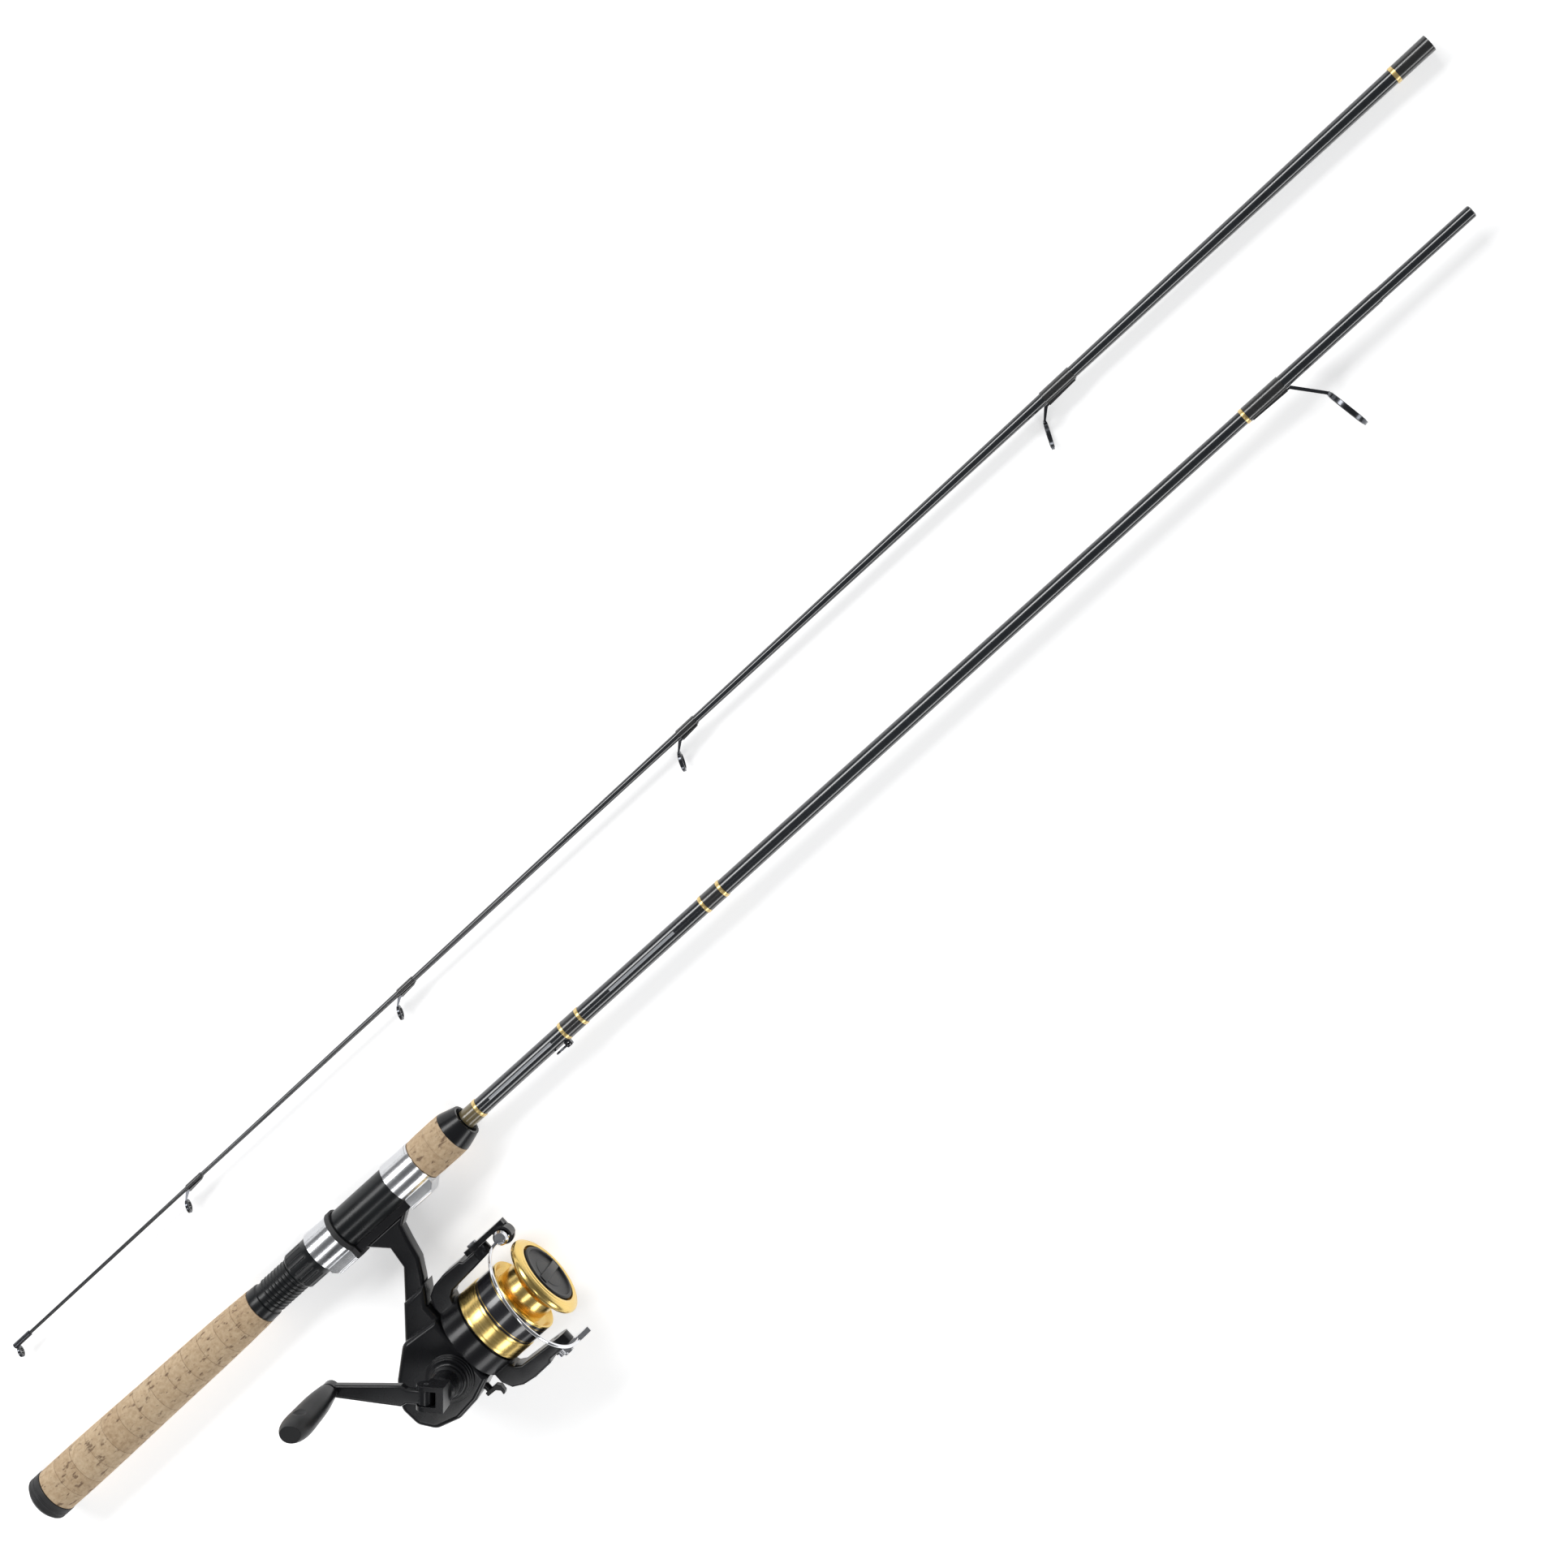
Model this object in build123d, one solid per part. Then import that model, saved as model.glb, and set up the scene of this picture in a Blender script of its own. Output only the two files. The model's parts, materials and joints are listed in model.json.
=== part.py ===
"""Two-piece spinning rod with its fixed-spool reel, laid down side by side.

The butt section and the reel are modelled in the rod's own frame: X runs along the rod from the
butt end to the ferrule, the reel hangs towards -Y and the crank stands towards +Z. The whole group
is then rolled about X until the butt cap and the reel's screw cap rest on the same level. The tip
section is modelled from its ferrule mouth and laid beside it, pointing the other way.
Millimetres throughout.
"""
import os
from math import asin, atan2, cos, degrees, hypot, pi, radians, sin

from build123d import *

os.makedirs("parts", exist_ok=True)

# ---------------------------------------------------------------- driving sizes
# Fits
RUNNING = 0.05              # radial clearance of a shaft in its bore
SLIP = 0.3                  # air between pieces of different bodies
SEATED = 0.02               # radial clearance between fixed pieces that seat on each other

# Butt section: stations along X
BUTT_LENGTH = 1028.0
CAP_LENGTH = 11.0
REAR_GRIP_LENGTH = 163.0
BARREL_LENGTH = 54.0        # threaded barrel, from the rear grip to the seat tube
SEAT_LENGTH = 69.7          # seat tube, from the barrel to the trim ring
TRIM_RING_LENGTH = 1.5
FORE_GRIP_LENGTH = 23.6
CHECK_LENGTH = 10.2
CAP_RADIUS = 13.6
REAR_GRIP_WAIST = 12.4
BARREL_RADIUS = 10.0        # over the thread
THREAD_DEPTH = 0.6
THREAD_PITCH = 2.5
SEAT_RADIUS = 11.6
FORE_GRIP_RADIUS = 12.3
CHECK_MOUTH_RADIUS = 9.2
BLANK_BUTT_RADIUS = 5.9
BLANK_FRONT_RADIUS = 3.55
FERRULE_OVERLAP = 60.0
SPIGOT_RADIUS = 3.4

# Seat hardware
NUT_LENGTH = 16.8
NUT_RADIUS = 11.3
NUT_FLUTES = 20
HOOD_LENGTH = 16.5
HOOD_RADIUS = 12.6
LINER_LENGTH = 3.1
LINER_RADIUS = 13.1
FIXED_HOOD_LENGTH = 18.1
HOOD_TRAVEL = 12.0
FOOT_GAP = 39.0             # bare seat tube between the two hoods

# Thread wraps and the hook keeper
WRAP_THICKNESS = 0.35
TRIM_THICKNESS = 0.45
GOLD_LENGTH = 2.2
KEEPER_START = 408.0
KEEPER_LENGTH = 10.0
DECOR_START = 510.5
DECOR_LENGTH = 10.5
HOOK_LOOP_RADIUS = 4.2
HOOK_WIRE_RADIUS = 0.6

# Guides: foot start, foot length, ring radius, height of the ring centre, lean in degrees
STRIPPER = dict(start=884.0, foot=24.0, ring=12.4, height=31.0, lean=9.0, wire=1.1)
TIP_GUIDES = [
    dict(start=233.0, foot=20.0, ring=7.7, height=15.4, lean=25.0, wire=0.8),
    dict(start=493.0, foot=13.0, ring=5.5, height=11.4, lean=25.0, wire=0.7),
    dict(start=700.0, foot=12.0, ring=4.1, height=8.4, lean=25.0, wire=0.6),
    dict(start=863.0, foot=12.0, ring=3.8, height=7.9, lean=25.0, wire=0.6),
]
RING_WALL = 1.0             # ceramic ring, radially

# Tip section
TIP_LENGTH = 1009.5         # from the ferrule mouth to the end of the blank
TIP_MOUTH_X = 1065.0        # where the ferrule mouth lies beside the butt section
TIP_SPACING = 74.0
SOCKET_DEPTH = 62.0
FERRULE_RADIUS = 4.3
TIP_END_RADIUS = 1.0
TIP_STATIONS = 8
FERRULE_WRAP_LENGTH = 21.0
TIP_TOP_TUBE = 11.0
TIP_TOP_RING = 3.3
TIP_TOP_HEIGHT = 4.2

# Reel: place of its two axes
SPOOL_Y = -90.0
CRANK_X = 234.0
CRANK_Y = -96.5
BODY_HALF = 15.0            # half the gearbox's width
SHELL = 2.0
GEARBOX_BOTTOM = -115.0
LEVER_X = 240.0
CORNER = 7.0                # rounding of the gearbox's outline
CAVITY_CORNER = 5.0
STEM_CORNER = 6.0
FOOT_LENGTH = 62.0
FOOT_THICKNESS = 3.0
FOOT_WIDTH = 12.0
STEM_HALF = 5.5
SHAFT_RADIUS = 2.0
CRANK_SHAFT_RADIUS = 3.2
STROKE = 8.0

# Rotor and bail
ROTOR_REAR = 250.0
ROTOR_RADIUS = 23.0
ROTOR_CUP_LENGTH = 13.4
DRUM_RADIUS = 21.2
DRUM_LENGTH = 24.0
ARM_HALF = 7.5
ARM_REACH = 37.0
PIVOT_X = 288.0
BAIL_PLATE_IN = 35.3        # distance of the bail's side plates from the spool axis
BAIL_PLATE_OUT = 38.2
ROLLER_X = 304.0
ROLLER_REACH = 31.0
ROLLER_RADIUS = 3.6
ROLLER_HALF = 3.0
BAIL_BULGE = 41.0
BAIL_WIRE_RADIUS = 0.95
BAIL_SWING = 105.0

# Spool
SPOOL_REAR = 264.5
SKIRT_LENGTH = 12.0
SKIRT_RADIUS = 22.9
BAND_LENGTH = 13.0
BAND_RADIUS = 22.4
ARBOR_RADIUS = 15.8
ARBOR_LENGTH = 12.6
LIP_RADIUS = 24.4
SPOOL_FRONT = 309.8
KNOB_RADIUS = 17.4
DRAG_STACK_RADIUS = 12.8

# Handle
ARM_LENGTH = 57.0
ARM_ANGLE = 136.0           # direction of the arm about the crank, from +X towards +Y
HUB_RADIUS = 7.6
HUB_TOP = 37.5
FOLD_HEIGHT = BAIL_BULGE + 4.5    # the arm's underside passes over the bail wire
FOLD_OFFSET = 5.0
FORK_RADIUS = 5.2
TONGUE_HALF = 3.9
KNOB_START = FOLD_HEIGHT + 7.0
KNOB_LENGTH = 62.0
KNOB_PIN_RADIUS = 1.8
SCREW_CAP_RADIUS = 7.5
SCREW_CAP_OUT = 30.0

# Gears
PINION_TEETH = 7
DRIVE_TEETH = 37
TRANSFER_TEETH = 18
OSC_TEETH = 16
PINION_RADIUS = 4.5
DRIVE_RADIUS = 12.6
DRIVE_FACE_INNER = 8.0
GEAR_MODULE = 1.0

# ---------------------------------------------------------------- stations worked out from them
GRIP_START = CAP_LENGTH
BARREL_START = GRIP_START + REAR_GRIP_LENGTH
SEAT_START = BARREL_START + BARREL_LENGTH
TRIM_START = SEAT_START + SEAT_LENGTH
FORE_START = TRIM_START + TRIM_RING_LENGTH
CHECK_START = FORE_START + FORE_GRIP_LENGTH
CHECK_END = CHECK_START + CHECK_LENGTH
FIXED_HOOD_START = TRIM_START - FIXED_HOOD_LENGTH
HOOD_FRONT = FIXED_HOOD_START - FOOT_GAP
LINER_START = HOOD_FRONT - LINER_LENGTH
HOOD_START = LINER_START - HOOD_LENGTH
NUT_START = HOOD_START - SLIP - NUT_LENGTH
FOOT_START = (HOOD_FRONT + FIXED_HOOD_START - FOOT_LENGTH) / 2
FOOT_TOP = -(SEAT_RADIUS + 0.1)
BODY_FRONT = ROTOR_REAR - 1.0


# ---------------------------------------------------------------- helpers
def turned(outline, y=0.0, z=0.0):
    """Body of revolution about an axis parallel to X, from (x, radius) points."""
    face = make_face(Polyline(*outline, close=True))
    return Pos(0, y, z) * revolve(face, Axis.X)


def turned_up(outline, x=0.0, y=0.0):
    """Body of revolution about an axis parallel to Z, from (radius, z) points."""
    face = make_face(Plane.XZ * Polyline(*outline, close=True))
    return Pos(x, y, 0) * revolve(face, Axis.Z)


def ring_x(x0, x1, outer, inner, y=0.0):
    """Tube along X."""
    return turned([(x0, inner), (x1, inner), (x1, outer), (x0, outer)], y)


def rod_x(x0, x1, radius, y=0.0, z=0.0):
    """Round bar along X."""
    return Pos((x0 + x1) / 2, y, z) * Rot(0, 90, 0) * Cylinder(radius, x1 - x0)


def rod_y(x, y0, y1, radius, z=0.0):
    """Round bar along Y."""
    return Pos(x, (y0 + y1) / 2, z) * Rot(90, 0, 0) * Cylinder(radius, abs(y1 - y0))


def rod_z(x, y, z0, z1, radius):
    """Round bar along Z."""
    return Pos(x, y, (z0 + z1) / 2) * Cylinder(radius, z1 - z0)


def block(x0, x1, y0, y1, z0, z1):
    """Box between two corners."""
    return Pos((x0 + x1) / 2, (y0 + y1) / 2, (z0 + z1) / 2) * Box(x1 - x0, y1 - y0, z1 - z0)


def plate(outline, z0, z1):
    """Flat plate from (x, y) points between two heights."""
    return Pos(0, 0, z0) * extrude(make_face(Polyline(*outline, close=True)), z1 - z0)


def rounded_plate(outline, z0, z1, radius, keep_from):
    """Flat plate from an (x, y) outline whose corners are rounded where x is below keep_from."""
    face = make_face(Polyline(*outline, close=True))
    face = fillet(face.vertices().filter_by(lambda corner: corner.X < keep_from), radius)
    return extrude(Pos(0, 0, z0) * face, z1 - z0)


def blank_radius(x):
    """Outer radius of the butt section's blank at a station."""
    return BLANK_BUTT_RADIUS + (BLANK_FRONT_RADIUS - BLANK_BUTT_RADIUS) * x / BUTT_LENGTH


def tip_radius(x):
    """Outer radius of the tip section's blank at a distance from its ferrule mouth.

    The taper slows towards the tip, and it is straight between evenly spaced stations.
    """
    span = TIP_LENGTH / TIP_STATIONS
    station = min(int(x / span), TIP_STATIONS - 1)
    near, far = [FERRULE_RADIUS + (TIP_END_RADIUS - FERRULE_RADIUS) * (1 - (1 - share) ** 1.5)
                 for share in (station / TIP_STATIONS, (station + 1) / TIP_STATIONS)]
    return near + (far - near) * (x / span - station)


def butt_core():
    """The butt blank's outer shape, which everything bound to it is cut to."""
    return turned([(0, 0), (0, blank_radius(0)), (BUTT_LENGTH, blank_radius(BUTT_LENGTH)), (BUTT_LENGTH, 0)])


def tip_core():
    """The tip blank's outer shape."""
    stations = [TIP_LENGTH * step / TIP_STATIONS for step in range(TIP_STATIONS + 1)]
    return turned([(0, 0)] + [(x, tip_radius(x)) for x in stations] + [(TIP_LENGTH, 0)])


def sleeve(x0, length, radius_at, thickness):
    """Thin wrap that follows the blank's taper."""
    x1 = x0 + length
    return turned([(x0, radius_at(x0)), (x1, radius_at(x1)),
                   (x1, radius_at(x1) + thickness), (x0, radius_at(x0) + thickness)])


# ---------------------------------------------------------------- rest position on the floor
# The reel side is raised until the screw cap's rim and the butt cap touch one level.
CAP_RIM_Y = -(CRANK_Y + SCREW_CAP_RADIUS)
ROLL = degrees(atan2(SCREW_CAP_OUT, CAP_RIM_Y) - asin(CAP_RADIUS / hypot(CAP_RIM_Y, SCREW_CAP_OUT)))
TIP_AXIS_Z = TIP_GUIDES[0]["ring"] - CAP_RADIUS
ROLLED = Rot(-ROLL, 0, 0)
TIP_LAID = Pos(TIP_MOUTH_X, TIP_SPACING, TIP_AXIS_Z) * Rot(0, 180, 0)
nodes = {}


def add(name, shape, place=ROLLED):
    """Keep a finished node in its resting place."""
    nodes[name] = place * shape


# ---------------------------------------------------------------- grips and seat of the butt section
def bore_of(shape, x0, x1):
    """Open a piece to the blank that runs through it."""
    return shape - turned([(x0, 0), (x1, 0), (x1, blank_radius(x1) + SEATED), (x0, blank_radius(x0) + SEATED)])


def make_handle():
    """Butt cap, cork grips, reel seat, trim ring and winding check."""
    blank_start = CAP_LENGTH / 2
    cap = turned([(0, 0), (0, CAP_RADIUS - 3.5), (1.0, CAP_RADIUS - 1.4), (3.0, CAP_RADIUS),
                  (CAP_LENGTH, CAP_RADIUS), (CAP_LENGTH, 0)])
    add("butt_cap", cap - rod_x(blank_start, CAP_LENGTH, blank_radius(blank_start) + SEATED))

    stations = [GRIP_START + REAR_GRIP_LENGTH * share for share in (0.0, 0.12, 0.55, 0.88, 1.0)]
    radii = [CAP_RADIUS - 0.3, CAP_RADIUS - 0.2, REAR_GRIP_WAIST, REAR_GRIP_WAIST - 0.9, BARREL_RADIUS + 0.7]
    side = Spline(*list(zip(stations, radii)))
    outline = side + Polyline((stations[-1], radii[-1]), (stations[-1], 0), (stations[0], 0), (stations[0], radii[0]))
    add("rear_grip", bore_of(revolve(make_face(outline), Axis.X), GRIP_START - 1, BARREL_START + 1))

    root = BARREL_RADIUS - THREAD_DEPTH
    profile = [(BARREL_START, 0), (BARREL_START, BARREL_RADIUS + 0.6), (BARREL_START + 6, BARREL_RADIUS + 0.3),
               (BARREL_START + 6, root)]
    x = BARREL_START + 8.0
    while x + THREAD_PITCH < SEAT_START - 1:
        profile += [(x, root), (x + 0.6, BARREL_RADIUS), (x + 1.2, BARREL_RADIUS), (x + 1.8, root)]
        x += THREAD_PITCH
    profile += [(SEAT_START, root), (SEAT_START, SEAT_RADIUS), (TRIM_START, SEAT_RADIUS), (TRIM_START, 0)]
    add("reel_seat", bore_of(turned(profile), BARREL_START - 1, TRIM_START + 1))

    add("trim_ring", bore_of(rod_x(TRIM_START, FORE_START, SEAT_RADIUS + 0.7), TRIM_START - 1, FORE_START + 1))

    fore = turned([(FORE_START, 0), (FORE_START, FORE_GRIP_RADIUS - 0.4), (FORE_START + 1.5, FORE_GRIP_RADIUS),
                   (CHECK_START - 2, FORE_GRIP_RADIUS + 0.1), (CHECK_START, FORE_GRIP_RADIUS - 0.2),
                   (CHECK_START, 0)])
    add("fore_grip", bore_of(fore, FORE_START - 1, CHECK_START + 1))

    check = turned([(CHECK_START, 0), (CHECK_START, FORE_GRIP_RADIUS - 0.2), (CHECK_START + 2, FORE_GRIP_RADIUS - 0.6),
                    (CHECK_END - 1.2, CHECK_MOUTH_RADIUS + 0.4), (CHECK_END, CHECK_MOUTH_RADIUS),
                    (CHECK_END, CHECK_MOUTH_RADIUS - 1.4), (CHECK_END - 4.5, blank_radius(CHECK_END) + 0.8),
                    (CHECK_END - 4.5, 0)])
    add("winding_check", bore_of(check, CHECK_START - 1, CHECK_END + 1))


def make_butt_blank():
    """Tapered blank with the ground spigot that enters the tip section."""
    start = CAP_LENGTH / 2
    shoulder = BUTT_LENGTH - FERRULE_OVERLAP
    wall = 1.0
    outer = turned([(start, 0), (start, blank_radius(start)), (shoulder, blank_radius(shoulder)),
                    (shoulder, SPIGOT_RADIUS), (BUTT_LENGTH - 0.5, SPIGOT_RADIUS),
                    (BUTT_LENGTH, SPIGOT_RADIUS - 0.5), (BUTT_LENGTH, 0)])
    inner = turned([(start + 2, 0), (start + 2, blank_radius(start) - 1.6 * wall),
                    (BUTT_LENGTH - 4, SPIGOT_RADIUS - wall), (BUTT_LENGTH - 4, 0)])
    add("butt_blank", outer - inner)


def make_butt_wraps():
    """Thread wraps and their gold trims on the butt section."""
    wraps = [sleeve(x, length, blank_radius, WRAP_THICKNESS) for x, length in
             ((CHECK_END, 8.8), (KEEPER_START, KEEPER_LENGTH), (DECOR_START, DECOR_LENGTH))]
    trims = []
    for x in (CHECK_END + 8.8, KEEPER_START - GOLD_LENGTH, KEEPER_START + KEEPER_LENGTH, DECOR_START - GOLD_LENGTH,
              DECOR_START + DECOR_LENGTH, STRIPPER["start"] - GOLD_LENGTH - 1.5):
        trims.append(sleeve(x, GOLD_LENGTH, blank_radius, TRIM_THICKNESS))
    add("butt_wraps", Compound(wraps + [guide_parts(core=butt_core(), radius_at=blank_radius, **STRIPPER)[2]]))
    add("butt_gold_trims", Compound(trims))


# ---------------------------------------------------------------- seat hardware
def foot_pocket(x0, x1, clearance):
    """Space for the reel foot's tab below the seat tube."""
    half = FOOT_WIDTH / 2 + clearance
    return block(x0, x1, FOOT_TOP - FOOT_THICKNESS - clearance, -SEAT_RADIUS + 2.0, -half, half)


def hood_shell(x0, x1, radius, bore):
    """Round sleeve with a swelling over the reel foot."""
    bulge = FOOT_TOP - FOOT_THICKNESS - 1.9
    swell = make_face(Polyline((x0, -SEAT_RADIUS + 3), (x1, -SEAT_RADIUS + 3), (x1, bulge),
                               (x0 + 0.25 * (x1 - x0), bulge), (x0, -radius), close=True))
    swelling = extrude(swell, FOOT_WIDTH / 2 + 1.7, both=True)
    edges = swelling.edges().filter_by(Axis.X).sort_by(Axis.Y)[:2]
    return fillet(edges, 1.6) + rod_x(x0, x1, radius) - rod_x(x0, x1, bore)


def make_seat_hardware():
    """Nut, sliding hood with its liner, and the fixed hood."""
    bore = BARREL_RADIUS + SLIP
    nut = turned([(NUT_START, 0), (NUT_START, NUT_RADIUS - 0.8), (NUT_START + 1, NUT_RADIUS),
                  (NUT_START + NUT_LENGTH - 3, NUT_RADIUS + 0.1), (NUT_START + NUT_LENGTH, NUT_RADIUS + 0.6),
                  (NUT_START + NUT_LENGTH, 0)])
    flute_start = NUT_START + 2
    flute_end = NUT_START + NUT_LENGTH - 4
    for step in range(NUT_FLUTES):
        turn = 2 * pi * step / NUT_FLUTES
        reach = NUT_RADIUS + 0.35
        nut -= rod_x(flute_start, flute_end, 0.7, reach * cos(turn), reach * sin(turn))
    add("seat_nut", nut - rod_x(NUT_START, NUT_START + NUT_LENGTH, bore))

    hood = hood_shell(HOOD_START, LINER_START, HOOD_RADIUS, SEAT_RADIUS + SLIP)
    back_wall = ring_x(HOOD_START, HOOD_START + 1.6, SEAT_RADIUS + SLIP, bore)
    add("sliding_hood", hood + back_wall - foot_pocket(FOOT_START - 1.0, HOOD_FRONT + 1, SLIP))
    liner = hood_shell(LINER_START, HOOD_FRONT, LINER_RADIUS, SEAT_RADIUS + SLIP)
    add("hood_liner", liner - foot_pocket(LINER_START - 1, HOOD_FRONT + 1, SLIP))

    fixed = hood_shell(FIXED_HOOD_START, TRIM_START, HOOD_RADIUS, SEAT_RADIUS + SEATED)
    flipped = mirror(fixed, Plane.YZ.offset((FIXED_HOOD_START + TRIM_START) / 2))
    pocket = foot_pocket(FIXED_HOOD_START - 1, FOOT_START + FOOT_LENGTH + 1.0, 0.15)
    add("fixed_hood", flipped - pocket)


def make_keeper():
    """Small folding ring that parks a hook, held by a strap under the keeper wrap."""
    x = KEEPER_START - GOLD_LENGTH - 2.0
    surface = blank_radius(x)
    seat = -(surface + 1.5)
    place = Pos(x - HOOK_LOOP_RADIUS, seat, 0) * Rot(90, 0, 0)
    strap = block(x - 1.6, KEEPER_START - GOLD_LENGTH, seat - 1.5, -surface + 0.3, -1.6, 1.6)
    strap = fillet(strap.edges().filter_by(Axis.Z).sort_by(Axis.Y)[:2], 0.8)
    strap -= place * Torus(HOOK_LOOP_RADIUS, HOOK_WIRE_RADIUS + SLIP / 2)
    strap -= rod_z(x, seat, -2, 2, HOOK_WIRE_RADIUS + 1.5 * SLIP)
    strap -= rod_x(x - 5, x + 5, surface + 0.04)
    add("keeper_strap", strap)
    add("keeper_hook", place * Torus(HOOK_LOOP_RADIUS, HOOK_WIRE_RADIUS))


# ---------------------------------------------------------------- line guides
def guide_parts(start, foot, ring, height, lean, wire, core, radius_at):
    """Single-foot guide below the blank: (frame, ring, wrap)."""
    surface = radius_at(start + foot / 2)
    toe = start + foot
    centre = (toe + 1.0 + wire + (height - ring - surface) * 0.6 + ring * sin(radians(lean)), -height)
    place = Pos(centre[0], centre[1], 0) * Rot(0, 0, lean) * Rot(0, 90, 0)
    thick = 2 * wire
    holder = place * (Cylinder(ring, thick) - Cylinder(ring - wire, thick))
    ring_outer = ring - wire
    rim_y = -height + ring * cos(radians(lean))
    rim_x = centre[0] - ring * sin(radians(lean))
    slope = Polyline((start, -surface - 0.05), (toe, -surface - 0.05), (rim_x + wire, rim_y - 0.3 * wire),
                     (rim_x - wire, rim_y - 0.3 * wire), (toe - 1.5, -surface - 1.1), (start, -surface - 0.5), close=True)
    leg = extrude(make_face(slope), max(1.2, 1.3 * wire), both=True)
    frame = leg - place * Cylinder(ring - 0.5 * wire, 4 * wire) + holder
    frame -= core
    inner = ring_outer - RING_WALL
    insert = place * (Cylinder(ring_outer, thick + 0.6) - Cylinder(inner, thick + 0.6))
    rims = insert.edges().filter_by(GeomType.CIRCLE)
    insert = chamfer(rims, 0.25)
    wrap_outer = 1.3 * WRAP_THICKNESS
    wrap = sleeve(start - 1.5, foot - 1.0, radius_at, wrap_outer)
    hump = extrude(make_face(Polyline((start - 0.5, -surface), (toe - 2.8, -surface), (toe - 2.8, -surface - 1.35),
                                      (start - 0.5, -surface - 0.75), close=True)), 1.9, both=True)
    wrap = wrap + hump - frame - core
    return frame, insert, wrap


def make_guides():
    """Stripper guide on the butt section and the running guides of the tip section."""
    frame, insert, wrap = guide_parts(core=butt_core(), radius_at=blank_radius, **STRIPPER)
    add("stripper_frame", frame)
    add("stripper_ring", insert)
    wraps = [sleeve(0, FERRULE_WRAP_LENGTH, tip_radius, WRAP_THICKNESS)]
    for number, sizes in enumerate(TIP_GUIDES, start=1):
        frame, insert, wrap = guide_parts(core=tip_core(), radius_at=tip_radius, **sizes)
        add(f"guide_{number}_frame", frame, TIP_LAID)
        add(f"guide_{number}_ring", insert, TIP_LAID)
        wraps.append(wrap)
    add("tip_wraps", Compound(wraps), TIP_LAID)


# ---------------------------------------------------------------- tip section
def make_tip_section():
    """Tapered blank with its ferrule socket, the ferrule wrap and the tip-top."""
    blank = tip_core() - rod_x(0, SOCKET_DEPTH, SPIGOT_RADIUS + RUNNING)
    add("tip_blank", blank, TIP_LAID)
    trim = sleeve(FERRULE_WRAP_LENGTH, GOLD_LENGTH, tip_radius, TRIM_THICKNESS)
    add("ferrule_gold_trim", trim, TIP_LAID)

    tube_start = TIP_LENGTH - TIP_TOP_TUBE
    bore = TIP_END_RADIUS + 0.12
    tube = ring_x(tube_start, TIP_LENGTH, bore + 0.5, bore) + rod_x(TIP_LENGTH, TIP_LENGTH + 1.0, bore + 0.5)
    place = Pos(TIP_LENGTH + 0.8, -TIP_TOP_HEIGHT, 0) * Rot(0, 0, 20) * Rot(0, 90, 0)
    loop = place * (Cylinder(TIP_TOP_RING, 1.2) - Cylinder(TIP_TOP_RING - 0.6, 1.2))
    bore_cut = place * Cylinder(TIP_TOP_RING - 0.6, 2.4)
    add("tip_top", tube + loop - bore_cut, TIP_LAID)
    outer = TIP_TOP_RING - 0.6
    add("tip_top_ring", place * (Cylinder(outer, 1.6) - Cylinder(outer - 0.8, 1.6)), TIP_LAID)


# ---------------------------------------------------------------- reel body
GEARBOX = [(BODY_FRONT, -110), (236, -115), (222, -116.5), (208, -112.5), (201.5, -104), (200.5, -92),
           (209.5, -79), (226, -66), (BODY_FRONT, -68)]
CAVITY = [(BODY_FRONT - SHELL, -108.5), (235.6, -113), (222, -114.4), (209.2, -110.8), (203.5, -103.4), (202.8, -92.6),
          (211.2, -80.4), (226.8, -70), (BODY_FRONT - SHELL, -70)]
COVER_SCREWS = [(243, -73.5), (214, -108.6), (228, -111.2)]


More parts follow.
